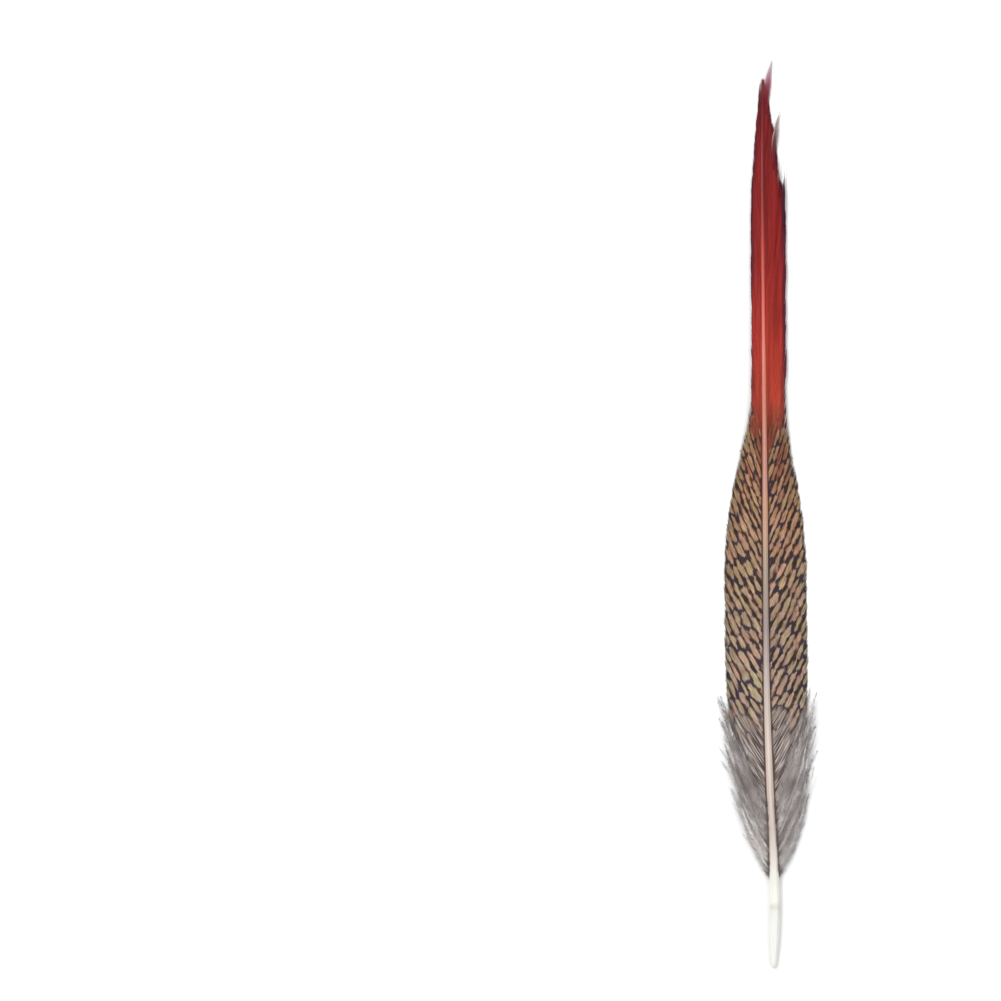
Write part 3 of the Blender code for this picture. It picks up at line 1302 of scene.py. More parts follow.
@dataclass(frozen=True)
class DownFinish(Finish):
    """The down: soft grey, darker in places, with pale ends."""

    def make(self) -> bpy.types.Material:
        """Makes the material.

        Returns:
            The material.
        """
        made, wires, shader = self.start()
        flow, place = wires.flow(), wires.place()
        tone = wires.mark("tone")
        patchy = wires.noise(place, 150.0, 3.0)
        mixed = wires.swing(patchy, 0.7, tone)
        along = wires.along(place)
        lighter = wires.linear(along, -0.012, 0.63)
        lighter = wires.linear(wires.mark("share"), 0.3, lighter)
        colour = wires.ramp(
            wires.plus(mixed, lighter),
            (
                (0.0, paint(118, 104, 100)),
                (0.4, paint(168, 157, 154)),
                (0.7, paint(204, 196, 194)),
                (1.0, paint(232, 227, 225)),
            ),
        )
        lowest = wires.times(wires.step(along, 42.0, 29.0), 0.6)
        colour = wires.blend(lowest, colour, paint(246, 243, 238))
        # Darker beside the shaft: partly the down's own darker roots, partly painted shadow from
        # the shaft.
        beside = wires.times(wires.step(wires.mark("beside"), 0.75, 0.15), 0.85)
        colour = wires.blend(beside, colour, paint(96, 74, 64))
        streak = self.effects.streak(wires, flow, 0.5, 6.0)
        colour = wires.shade(colour, streak, 2.1, -0.06)
        broad = self.effects.streak(wires, flow, 1.6, 11.0)
        colour = wires.shade(colour, broad, 1.3, 0.36)
        # Painted shade: filaments that lie low are darkened, as if the ones above them shaded
        # them.
        height_shade = wires.step(wires.maths("DIVIDE", wires.axis(place, 2), MM), 0.2, 2.1)
        colour = wires.shade(colour, height_shade, 0.62, 0.56)
        wires.put(colour, shader.inputs["Base Color"])
        rough = wires.noise(place, 700.0, 1.0)
        wires.put(wires.linear(rough, 0.2, 0.7), shader.inputs["Roughness"])
        shader.inputs["Specular IOR Level"].default_value = 0.2
        shader.inputs["Sheen Weight"].default_value = 0.25
        return made


@dataclass(frozen=True)
class TuftFinish(Finish):
    """The loose tufts at the tip: maroon at their roots, pinkish, then pale grey at their ends."""

    def make(self) -> bpy.types.Material:
        """Makes the material.

        Returns:
            The material.
        """
        made, wires, shader = self.start()
        shift = wires.linear(wires.mark("tone"), 0.16, -0.08)
        run = wires.plus(wires.mark("run"), shift)
        colour = wires.ramp(
            run,
            (
                (0.0, paint(118, 42, 48)),
                (0.38, paint(138, 58, 72)),
                (0.55, paint(176, 106, 124)),
                (0.72, paint(200, 160, 174)),
                (0.86, paint(210, 198, 200)),
                (1.0, paint(222, 218, 218)),
            ),
        )
        dull = wires.blend(wires.step(run, 0.4, 0.85), paint(122, 78, 74), paint(206, 188, 186))
        greyish = wires.times(wires.mark("dull"), wires.step(run, 0.2, 0.5))
        colour = wires.blend(greyish, colour, dull)
        dark = wires.times(wires.mark("dark"), wires.step(run, 1.1, 0.7))
        colour = wires.blend(dark, colour, paint(84, 44, 60))
        streak = self.effects.streak(wires, wires.flow(), 0.3, 3.0)
        colour = wires.shade(colour, streak, 0.5, 0.75)
        wires.put(colour, shader.inputs["Base Color"])
        wires.put(wires.linear(streak, 0.2, 0.5), shader.inputs["Roughness"])
        shader.inputs["Specular IOR Level"].default_value = 0.2
        return made


@dataclass(frozen=True)
class ShaftFinish(Finish):
    """The shaft: cream horn at the quill, grey beige along the bars, salmon to red above them.

    Attributes:
        colours: The shaft's colour along the feather.
    """

    colours: tuple[tuple[float, Colour], ...] = (
        (0.0, (238, 237, 231)),
        (14.0, (234, 234, 231)),
        (16.8, (233, 230, 222)),
        (17.9, (214, 211, 198)),
        (19.3, (240, 240, 230)),
        (21.5, (240, 240, 231)),
        (40.0, (204, 189, 180)),
        (62.0, (219, 203, 192)),
        (78.0, (200, 187, 176)),
        (98.0, (160, 143, 140)),
        (114.0, (166, 150, 134)),
        (123.0, (188, 155, 130)),
        (131.0, (194, 152, 125)),
        (142.0, (196, 140, 124)),
        (162.0, (200, 123, 105)),
        (178.0, (216, 126, 111)),
        (193.0, (208, 98, 86)),
        (205.0, (192, 82, 72)),
        (216.0, (166, 66, 60)),
        (225.0, (146, 58, 54)),
        (236.0, (146, 56, 56)),
        (246.0, (124, 44, 50)),
        (264.0, (108, 38, 46)),
    )

    def make(self) -> bpy.types.Material:
        """Makes the material.

        Returns:
            The material.
        """
        made, wires, shader = self.start()
        place = wires.place()
        along = wires.along(place)
        wander = wires.noise(place, 120.0)
        along = wires.swing(wander, 6.0, along)
        colour = wires.ramp_along(along, [(y, paint(*shade)) for y, shade in self.colours])
        streak = self.effects.streak(wires, wires.flow(), 0.25, 14.0)
        colour = wires.shade(colour, streak, 0.28, 0.87)
        # Painted shade: above the quill, the shaft's sides, which face away from the light above,
        # are darkened to brown.
        flank = wires.step(wires.mark("flank"), 0.62, 0.1)
        flank = wires.times(flank, wires.step(wires.mark("flank"), -0.85, -0.4))
        above_quill = wires.step(along, 26.0, 40.0)
        flank_shade = wires.times(wires.times(flank, above_quill), 0.8)
        colour = wires.blend(flank_shade, colour, wires.tint(colour, paint(150, 108, 92)))
        wires.put(colour, shader.inputs["Base Color"])
        duller = wires.linear(wires.step(along, 180.0, 235.0), 0.35, 0.2)
        wires.put(wires.linear(streak, 0.3, duller), shader.inputs["Roughness"])
        shader.inputs["Specular IOR Level"].default_value = 0.5
        shader.inputs["Subsurface Weight"].default_value = 0.15
        shader.inputs["Subsurface Radius"].default_value = (1.0, 0.7, 0.5)
        shader.inputs["Subsurface Scale"].default_value = 0.5 * MM
        coat = wires.times(wires.step(along, 215.0, 150.0), 0.25)
        wires.put(coat, shader.inputs["Coat Weight"])
        shader.inputs["Coat Roughness"].default_value = 0.25
        self.bump(wires, shader, streak, 0.35, 0.05)
        return made


# ---------------------------------------------------------------- the feather's pieces


def dress(thing: bpy.types.Object, slot: Slot, material: bpy.types.Material) -> bpy.types.Object:
    """Gives a finished piece its material and its place on the frame.

    Args:
        thing: The piece.
        slot: The record's slot for its finish. It is not used.
        material: Its material.

    Returns:
        The piece.
    """
    thing.data.materials.clear()
    thing.data.materials.append(material)
    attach(thing, "root")
    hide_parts("feather")
    faces = sum(len(face.vertices) - 2 for face in thing.data.polygons)
    LOG.info("%s: %d triangles", thing.name, faces)
    return thing


@dataclass
class Shaft:
    """The quill and the rachis above it, round on top and grooved below.

    Attributes:
        plan: The feather's lines.
        material: The shaft's material.
        sides: How many sides its section has.
        rung: The distance between its cross sections.
        end_rungs: The places of the first of them, each with its share of the radius.
        even_from: Where the evenly spaced ones start.
        point: How far the last is past the plan's last row, and its share of the radius.
        groove_from: Where the groove below starts.
        groove_grows: The length over which it grows to its full depth.
        groove_depth: That depth, as a share of the radius.
        groove_width: Its half width around the shaft, in radians.
        squareness: How square the rachis is.
        rim: The width of the wall around the opening at the quill's end.
        pit: The depth of that opening.
        girth: How wide the shaft's surface is in the pattern's coordinates.
    """

    plan: FeatherPlan
    material: bpy.types.Material
    sides: int = 24
    rung: float = 2.0
    end_rungs: Table = ((0.0, 0.42), (0.35, 0.66), (0.9, 0.86), (1.7, 0.97))
    even_from: float = 3.0
    point: tuple[float, float] = (4.0, 0.25)
    groove_from: float = 34.0
    groove_grows: float = 16.0
    groove_depth: float = 0.34
    groove_width: float = 0.42
    squareness: float = 0.10
    rim: float = 0.12
    pit: float = 0.9
    girth: float = 6.0

    def rungs(self) -> Array:
        """The places of its cross sections, each with its share of the radius.

        Returns:
            The cross sections, shaped (rings, 2).
        """
        last = self.plan.shaft[-1][0]
        even = [(y, 1.0) for y in np.arange(self.even_from, last, self.rung)]
        past, share = self.point
        return np.array([*self.end_rungs, *even, (last, 1.0), (last + past, share)])

    def build(self) -> bpy.types.Object:
        """Models the shaft and dresses it.

        Returns:
            The shaft.
        """
        rungs = self.rungs()
        deselect_all()
        bpy.ops.mesh.primitive_circle_add(
            vertices=self.sides, radius=1.0, fill_type="NGON", rotation=(math.radians(90), 0, 0)
        )
        shaft = bpy.context.object
        bpy.ops.object.transform_apply(location=True, rotation=True, scale=True)
        bpy.ops.object.mode_set(mode="EDIT")
        bpy.ops.mesh.select_all(action="SELECT")
        for _ in range(len(rungs) - 1):
            bpy.ops.mesh.extrude_region_move(TRANSFORM_OT_translate={"value": (0, 1, 0)})
        bpy.ops.mesh.select_all(action="SELECT")
        bpy.ops.mesh.normals_make_consistent(inside=False)
        bpy.ops.object.mode_set(mode="OBJECT")
        self.fit(shaft.data, rungs)
        self.open_quill(shaft)
        shaft.data.shade_smooth()
        return dress(join("shaft", [shaft]), Slot.SHAFT, self.material)

    def fit(self, mesh: bpy.types.Mesh, rungs: Array) -> None:
        """Gives the straight tube its bow, its taper, its section and its maps.

        Args:
            mesh: The tube, with its rings a unit apart.
            rungs: For each ring its place along and its share of the radius.
        """
        place = np.array([vertex.co for vertex in mesh.vertices])
        ring = np.rint(place[:, 1]).astype(int)
        angle = np.arctan2(place[:, 2], place[:, 0])
        y = rungs[ring, 0]
        x, z, radius = self.plan.shaft_at(y)
        radius = radius * rungs[ring, 1]
        grown = np.clip((y - self.groove_from) / self.groove_grows, 0, 1)
        squared = 1 + self.squareness * grown * np.cos(4 * angle)
        below = np.exp(-((np.abs(angle + math.pi / 2) / self.groove_width) ** 2))
        reach = radius * squared * (1 - self.groove_depth * grown * below)
        spots = np.stack((x + reach * np.cos(angle), y, z + reach * np.sin(angle)), axis=-1)
        spots[:, 2] = np.maximum(spots[:, 2], FLOOR_GAP)
        mesh.vertices.foreach_set("co", to_metres(spots).astype(np.float32).ravel())
        # How far up each point of the shaft faces, which the finish uses to paint shade on its
        # sides.
        flank = mesh.attributes.new("flank", "FLOAT", "POINT")
        flank.data.foreach_set("value", np.sin(angle).astype(np.float32))
        corners = np.array([loop.vertex_index for loop in mesh.loops])
        turns = ((angle / (2 * math.pi) + 0.25) % 1.0)[corners]
        for face in mesh.polygons:
            span = turns[face.loop_start : face.loop_start + face.loop_total]
            if span.max() - span.min() > 0.5 and face.loop_total == 4:
                span[span < 0.5] += 1.0
        for name in [layer.name for layer in mesh.uv_layers]:
            mesh.uv_layers.remove(mesh.uv_layers[name])
        Strands.add_map(mesh, FLOW_MAP, np.stack((turns * self.girth, y[corners]), axis=-1))
        corner, sides = (0.02, 0.02), (0.94, 0.96)
        baked = np.stack((turns, y[corners] / LENGTH), axis=-1) * sides + corner
        Strands.add_map(mesh, BAKE_MAP, baked)

    def open_quill(self, shaft: bpy.types.Object) -> None:
        """Sinks the small opening at the quill's end, with nothing else selected.

        Args:
            shaft: The shaft.
        """
        bpy.ops.object.mode_set(mode="EDIT")
        bpy.ops.mesh.select_mode(type="FACE")
        bpy.ops.mesh.select_all(action="DESELECT")
        bpy.ops.object.mode_set(mode="OBJECT")
        for face in shaft.data.polygons:
            face.select = face.normal.y < -0.9 and len(face.vertices) == self.sides
        bpy.ops.object.mode_set(mode="EDIT")
        bpy.ops.mesh.inset(thickness=self.rim * MM)
        bpy.ops.mesh.extrude_region_move(TRANSFORM_OT_translate={"value": (0, self.pit * MM, 0)})
        bpy.ops.object.mode_set(mode="OBJECT")


@dataclass
class Web:
    """The barbs of one stretch of the web on one side of the shaft.

    Attributes:
        side: The side of the shaft.
        plan: The feather's lines.
        material: The web's material.
        name: The piece's name, before its side.
        slot: The record's slot.
        roots: The lowest and the highest root.
        spacing: The distance between roots.
        lock: The least and the greatest width of a lock, along the shaft.
        pull: The least and the greatest share by which a lock's barbs draw together.
        split: The share of the locks that stand apart from the next, and their further pull.
        ragged: How unevenly the barbs end.
        seed: The seed of its unevenness.
        overlap: How far neighbouring barbs overlap.
        least_room: The least half width of a barb before its taper.
        tilt: How far each barb leans over the next, in degrees.
        rib: The half height of a barb at the shaft.
        taper: The length over which a barb narrows to its point.
        jitter: How unevenly the barbs are rooted, as a share of the spacing.
        drawn_from: Where along its barbs a lock starts to draw together, as a share of them.
        ripple: How far the barbs wave.
        stray: How far each barb strays from the one below it.
        stray_over: Over how many barbs that evens out.
        most_stray: How far a barb strays at most.
        uneven: How unevenly high the barbs lie.
        crown: How far the middle of a lock rises above its sides.
        hairs: How many free barbules each barb has.
        hair_from: Where along the barb they start, as a share of it.
        hair_length: Their length.
        hair_turn: The least and the greatest angle between them and the barb, in degrees.
        hair_lift: How far they point down and up.
        hair_width: Their half width at each ring.
        hair_height: Their half height at each ring.
        bake_columns: How many barbs lie side by side in the baked texture.
    """

    side: Side
    plan: FeatherPlan
    material: bpy.types.Material
    name: str
    slot: Slot
    roots: tuple[float, float]
    spacing: float
    lock: tuple[float, float]
    pull: tuple[float, float]
    split: tuple[float, float]
    ragged: float
    seed: int
    overlap: float = 2.3
    least_room: float = 0.15
    tilt: float = 7.0
    rib: float = 0.10
    taper: float = 2.4
    jitter: float = 0.18
    drawn_from: float = 0.35
    ripple: float = 0.03
    stray: float = 0.05
    stray_over: int = 25
    most_stray: float = 0.25
    uneven: float = 0.025
    crown: float = 0.10
    hairs: int = 12
    hair_from: float = 0.62
    hair_length: float = 0.75
    hair_turn: tuple[float, float] = (14.0, 34.0)
    hair_lift: tuple[float, float] = (-0.10, 0.16)
    hair_width: tuple[float, ...] = (0.032, 0.022, 0.0)
    hair_height: tuple[float, ...] = (0.025, 0.018, 0.0)
    bake_columns: int = 84

    def locks(self, roots: Array, chance: np.random.Generator) -> tuple[Array, Array, Array]:
        """Parts the barbs into locks.

        Args:
            roots: Where the barbs leave the shaft.
            chance: The source of unevenness.

        Returns:
            For each barb, its distance from its lock's middle, its lock's half width, and the
            share by which the lock draws together.
        """
        offset, half, pull = np.zeros_like(roots), np.ones_like(roots), np.zeros_like(roots)
        for inside, middle, width in clumps(roots, self.lock, roots[0] - self.spacing, chance):
            offset[inside] = roots[inside] - middle
            half[inside] = width / 2
            apart = chance.random() < self.split[0]
            pull[inside] = chance.uniform(*self.pull) + self.split[1] * apart
        return offset, half, pull

    def strayed(self, count: int, chance: np.random.Generator) -> Array:
        """How far the end of each barb strays, which changes slowly from one to the next.

        Args:
            count: How many barbs there are.
            chance: The source of unevenness.

        Returns:
            The distances, one a row.
        """
        place = np.cumsum(chance.normal(0, self.stray, count))
        evened = np.convolve(place, np.ones(self.stray_over) / self.stray_over, mode="same")
        return (place - evened)[:, None]

    def strands(self) -> Strands:
        """The lines that the barbs follow.

        Returns:
            The barbs' lines.
        """
        chance = np.random.default_rng(self.seed)
        rings = BARB.rings
        roots = np.arange(*self.roots, self.spacing)
        count = len(roots)
        offset, half, pull = self.locks(roots, chance)
        outer = (offset / half) ** 2
        teeth = -self.ragged * outer + chance.normal(0, 0.3 * self.ragged, count)
        shaken = roots + chance.uniform(-self.jitter, self.jitter, count) * self.spacing
        out, y = self.plan.walk(self.side, shaken, teeth, rings)
        run = np.linspace(0, 1, rings)[None]

        heading = headings(out, y)
        drawn = late(run, self.drawn_from) ** 1.6 * pull[:, None]
        apart = offset[:, None] * np.sin(heading) * drawn
        wave = self.ripple * waves(run, 9, count, chance) * run
        strayed = np.clip(self.strayed(count, chance) * run, -self.most_stray, self.most_stray)
        out, y = pushed(out, y, heading, -apart + wave + strayed)

        z = self.plan.web_height(self.side, out, y) + chance.normal(0, self.uneven, (count, 1))
        z = z + self.crown * (1 - outer)[:, None] * run
        points = self.plan.in_space(self.side, out, y, z)
        up = self.plan.web_normal(self.side, out, y)
        lean = math.radians(self.tilt) * self.side.value
        tangent = unit(np.gradient(points, axis=1))
        up = up * math.cos(lean) + np.cross(tangent, up) * math.sin(lean)

        length = distances(out, y)
        room = np.maximum(0.5 * self.spacing * np.sin(heading) * self.overlap, self.least_room)
        taper = np.clip((length[:, -1:] - length) / self.taper, 0.10, 1) ** 0.75
        half_width = room * (1 - 0.5 * drawn) * taper
        half_height = np.broadcast_to(self.rib * (1 - 0.65 * run), out.shape)
        across, along = self.flow(shaken, length)
        along = along + chance.normal(0, 0.2, (count, 1))
        row = self.plan.read(self.plan.row, 1, shaken)[:, None]
        return Strands(
            points,
            up,
            half_width,
            half_height,
            strand_marks(self.plan, self.side, chance.random(count), out, y),
            np.stack((across, along), axis=-1),
            -self.side.value * room / row,
            patches(count, self.bake_columns),
        )

    def flow(self, roots: Array, length: Array) -> tuple[Array, Array]:
        """The pattern's coordinates.

        Places that lie square across from each other on neighbouring barbs have the same second
        coordinate, so a pattern that is drawn in these coordinates isn't sheared.

        Args:
            roots: Where the barbs leave the shaft.
            length: How far each point is along its barb.

        Returns:
            How many rows of cells each point is across the barbs, and how far it is along them.
        """
        step = 0.5
        grid = np.arange(0.0, LENGTH, step)
        slants = np.radians(self.plan.read(self.plan.slant, 1, grid))
        rows = np.cumsum(np.sin(slants) / self.plan.read(self.plan.row, 1, grid)) * step
        lead = np.cumsum(np.cos(slants)) * step
        across = np.interp(roots, grid, rows)[:, None] + LEFT_ROWS * (self.side is Side.LEFT)
        along = length + np.interp(roots, grid, lead)[:, None]
        return np.broadcast_to(across, length.shape), along

    def fringe(self, strands: Strands) -> Strands:
        """The short free barbules on the outer ends of the barbs.

        Args:
            strands: The barbs.

        Returns:
            The barbules' lines.
        """
        chance = np.random.default_rng(self.seed + 1)
        count = len(strands.points)
        rings = BARB.rings - 1
        places = chance.uniform(self.hair_from, 0.99, (count, self.hairs)) * rings
        base = between(strands.points, places).reshape(-1, 3)
        tangent = unit(between(np.gradient(strands.points, axis=1), places)).reshape(-1, 3)
        up = unit(between(strands.up, places)).reshape(-1, 3)
        turn = np.radians(chance.uniform(*self.hair_turn, len(base)))
        turn = turn * chance.choice((-1, 1), len(base))
        ahead = unit(
            tangent * np.cos(turn)[:, None]
            + np.cross(tangent, up) * np.sin(turn)[:, None]
            + up * chance.uniform(*self.hair_lift, (len(base), 1))
        )
        length = self.hair_length * chance.uniform(0.5, 1.2, (len(base), 1))
        end = base + unit(ahead + tangent * 0.5) * length
        points = np.stack((base, base + ahead * length * 0.5, end), axis=1)
        shape = (len(base), BARBULE.rings)
        each = np.repeat(np.arange(count), self.hairs)
        boxes = strands.patches[each].copy()
        share = (places.reshape(-1) / rings)[:, None]
        boxes[:, 0] += boxes[:, 1] * share * 0.96
        boxes[:, 1], boxes[:, 2] = boxes[:, 2] * 0.9, boxes[:, 1] * 0.03
        marks = {
            mark: repeated(between(values, places).ravel(), BARBULE.rings)
            for mark, values in strands.marks.items()
        }
        return Strands(
            points,
            repeated(up, BARBULE.rings),
            np.broadcast_to(self.hair_width, shape),
            np.broadcast_to(self.hair_height, shape),
            marks,
            repeated(between(strands.flow, places).reshape(-1, 2), BARBULE.rings),
            np.zeros(shape),
            boxes,
        )

    def build(self) -> bpy.types.Object:
        """Lays the barbs and their fringe, and dresses them.

        Returns:
            The piece.
        """
        strands = self.strands()
        name = f"{self.name}_{self.side.name.lower()}"
        parts = [strands.lay(name, BARB), self.fringe(strands).lay("fringe", BARBULE)]
        return dress(join(name, parts), self.slot, self.material)


@dataclass
class Down:
    """The loose, fluffy barbs around the lower shaft, on one side.

    Attributes:
        side: The side of the shaft.
        plan: The feather's lines.
        material: The down's material.
        seed: The seed of its unevenness.
        roots: The lowest and the highest root.
        spacing: The distance between roots.
        jitter: How unevenly the barbs are rooted, as a share of the spacing.
        slanted: The share of the web's slant that these barbs have.
        reach: How far a clump ends past the web's edge, as a share of the web's width.
        free: The share of the barbs that end apart from their clump.
        further: How far those end past the edge, on the left and on the right.
        clump: The least and the greatest width of a clump, along the shaft.
        pull: The least and the greatest share by which a clump's barbs draw together.
        drawn_from: Where along its barbs a clump starts to draw together, as a share of them.
        closed: The share of the barbs whose filaments lie close to them.
        wave: How far the barbs wave, and the least and the greatest turn of a wave in radians.
        curl: The same for the tighter curls upon the waves.
        bend: How far the barbs bend aside.
        stray: The share of the barbs that bend far more.
        heights: The least and the greatest height of a barb's end.
        thickness: A barb's half width at its root.
        every: The distance between the filaments on each side of a barb.
        fill_every: The distance between the finer filaments that fill up the down.
        length: The length of a filament.
        open: The least and the greatest angle between a filament and its barb, in degrees.
        rise: How unevenly the filaments point up and down, in degrees.
        bake_columns: How many barbs lie side by side in the baked texture.
    """

    side: Side
    plan: FeatherPlan
    material: bpy.types.Material
    seed: int
    roots: tuple[float, float] = (24.2, 46.0)
    spacing: float = 0.25
    jitter: float = 0.3
    slanted: float = 0.74
    reach: tuple[float, float] = (-0.34, 0.04)
    free: float = 0.17
    further: Table = ((0.04, 0.17), (0.02, 0.12))
    clump: tuple[float, float] = (0.7, 2.6)
    pull: tuple[float, float] = (0.3, 0.85)
    drawn_from: float = 0.2
    closed: float = 0.15
    wave: tuple[float, float, float] = (0.4, 4.0, 9.0)
    curl: tuple[float, float, float] = (0.16, 14.0, 30.0)
    bend: float = 1.0
    stray: float = 0.03
    heights: tuple[float, float] = (0.25, 3.0)
    thickness: float = 0.065
    every: float = 0.34
    fill_every: float = 0.21
    length: float = 2.1
    open: tuple[float, float] = (18.0, 56.0)
    rise: float = 28.0
    bake_columns: int = 12

    def rami(self) -> Strands:
        """The lines that the loose barbs follow.

        Returns:
            The barbs' lines.
        """
        chance = np.random.default_rng(self.seed)
        rings = RAMUS.rings
        roots = np.arange(*self.roots, self.spacing)
        count = len(roots)
        offset, pull, long, shade = (np.zeros(count) for _ in range(4))
        for inside, middle, _ in clumps(roots, self.clump, roots[0], chance):
            offset[inside] = roots[inside] - middle
            pull[inside] = chance.uniform(*self.pull)
            long[inside] = chance.uniform(*self.reach)
            shade[inside] = chance.random()
        teeth = long + chance.normal(-0.03, 0.11, count)
        free = chance.random(count) < self.free
        further = self.further[self.side is Side.RIGHT]
        teeth = np.where(free, chance.uniform(*further, count), np.minimum(teeth, further[1]))
        shaken = roots + chance.uniform(-self.jitter, self.jitter, count) * self.spacing
        out, y = self.plan.walk(self.side, shaken, teeth, rings, self.slanted)
        run = np.linspace(0, 1, rings)[None]
        heading = headings(out, y)
        drawn = late(run, self.drawn_from) ** 1.3 * pull[:, None]
        wave, curl = (
            size * waves(run, chance.uniform(*turns, (count, 1)), count, chance)
            for size, *turns in (self.wave, self.curl)
        )
        bend = chance.normal(0, self.bend, (count, 1))
        bend = (bend + 2.0 * np.sign(bend) * (chance.random((count, 1)) < self.stray)) * run**2
        shift = -offset[:, None] * np.sin(heading) * drawn + (wave + curl) * run + bend
        out, y = pushed(out, y, heading, shift)

        # A barb that ends high also starts high on the shaft's side.
        closed = chance.random(count) < self.closed
        _, axis, radius = self.plan.shaft_at(shaken)
        low, high = self.heights
        ends = low + (high - low) * chance.random(count) ** np.where(closed, 0.7, 1.4)
        begins = axis + radius * np.clip((ends - 1.6) / 2.0, -0.6, 0.6)
        z = begins[:, None] + (ends - begins)[:, None] * run**0.9
        z = z + 0.25 * waves(run, 7, count, chance) * run
        points = self.plan.in_space(self.side, out, y, np.maximum(z, LOWEST_BARB))
        tones = 0.35 * shade + 0.55 * chance.random(count) + 0.1 * closed
        marks = strand_marks(self.plan, self.side, tones, out, y)
        marks["closed"] = repeated(closed.astype(float), rings)
        along = distances(out, y)
        flow = np.stack((np.broadcast_to(roots[:, None], along.shape), along), axis=-1)
        thick = self.thickness * (1 - 0.75 * run) * np.where(closed, 1.15, 1.0)[:, None]
        return Strands(
            points,
            np.broadcast_to(UP, points.shape),
            thick,
            0.85 * thick,
            marks,
            flow,
            np.zeros_like(out),
            patches(count, self.bake_columns),
        )

    def barbules(
        self, rami: Strands, master: Master, every: float, width: float, seed: int
    ) -> Strands:
        """The fine filaments along the loose barbs.

        Args:
            rami: The loose barbs.
            master: The strand that the filaments are copied from.
            every: The distance between filaments on each side of a barb.
            width: The half width of a filament at its root.
            seed: The seed of their unevenness.

        Returns:
            The filaments' lines.
        """
        chance = np.random.default_rng(seed)
        last = RAMUS.rings - 1
        lengths = rami.flow[:, -1, 1]
        counts = np.maximum((2 * lengths / every).astype(int), 4)
        each = np.repeat(np.arange(len(counts)), counts)
        place = chance.uniform(0.02, 0.995, (len(each), 1))
        spots = place * last

        def on_ramus(values: Array) -> Array:
            """Values of the barbs at the filaments' roots."""
            return between(values[each], spots)[:, 0]

        base = on_ramus(rami.points)
        tangent = unit(on_ramus(np.gradient(rami.points, axis=1)))
        level = unit(np.cross(tangent, UP))
        closed = on_ramus(rami.marks["closed"][..., None])
        turn = np.radians(chance.uniform(*self.open, (len(each), 1)) * (1 - 0.6 * closed))
        way = chance.choice((-1.0, 1.0), (len(each), 1))
        rise = np.radians(chance.normal(0, self.rise, (len(each), 1)))
        aside = level * way * np.cos(rise) + np.array(UP) * np.sin(rise)
        ahead = unit(tangent * np.cos(turn) + aside * np.sin(turn))
        profile = 0.3 + 0.95 * np.sin(np.pi * np.clip(place, 0, 1) ** 0.8)
        length = self.length * profile * chance.uniform(0.55, 1.1, (len(each), 1))
        if master.rings == 2:
            points = np.stack((base, base + ahead * length), axis=1)
        else:
            middle = base + ahead * length * 0.5
            bent = unit(ahead + tangent * chance.uniform(0.1, 0.7, (len(each), 1)))
            points = np.stack((base, middle, middle + bent * length * 0.5), axis=1)
        points[..., 2] = np.maximum(points[..., 2], LOWEST_FILAMENT)
        taper = np.linspace(1.0, 0.0, master.rings) ** 0.6
        shape = (len(each), master.rings)
        marks = {
            mark: np.repeat(on_ramus(values[..., None]), master.rings, axis=1)
            for mark, values in rami.marks.items()
        }
        boxes = rami.patches[each].copy()
        boxes[:, 0] += boxes[:, 1] * place * 0.95 + boxes[:, 2] * 1.1
        boxes[:, 1], boxes[:, 2] = boxes[:, 2] * way, boxes[:, 1] * 0.02
        return Strands(
            points,
            np.broadcast_to(UP, points.shape),
            np.broadcast_to(width * taper, shape),
            np.broadcast_to(width * 0.7 * taper, shape),
            marks,
            repeated(on_ramus(rami.flow), master.rings),
            np.zeros(shape),
            boxes,
        )

    def build(self) -> list[bpy.types.Object]:
        """Lays the loose barbs and their filaments, and dresses them.

        Returns:
            The down, and the finer filaments that fill it up.
        """
        side = self.side.name.lower()
        rami = self.rami()
        plumes = self.barbules(rami, BARBULE, self.every, 0.036, self.seed + 1)
        fluff = self.barbules(rami, SPIKE, self.fill_every, 0.030, self.seed + 2)
        parts = [rami.lay("rami", RAMUS), plumes.lay("plumes", BARBULE)]
        return [
            dress(join(f"down_{side}", parts), Slot.DOWN, self.material),
            dress(fluff.lay(f"down_fluff_{side}", SPIKE), Slot.DOWN, self.material),
        ]


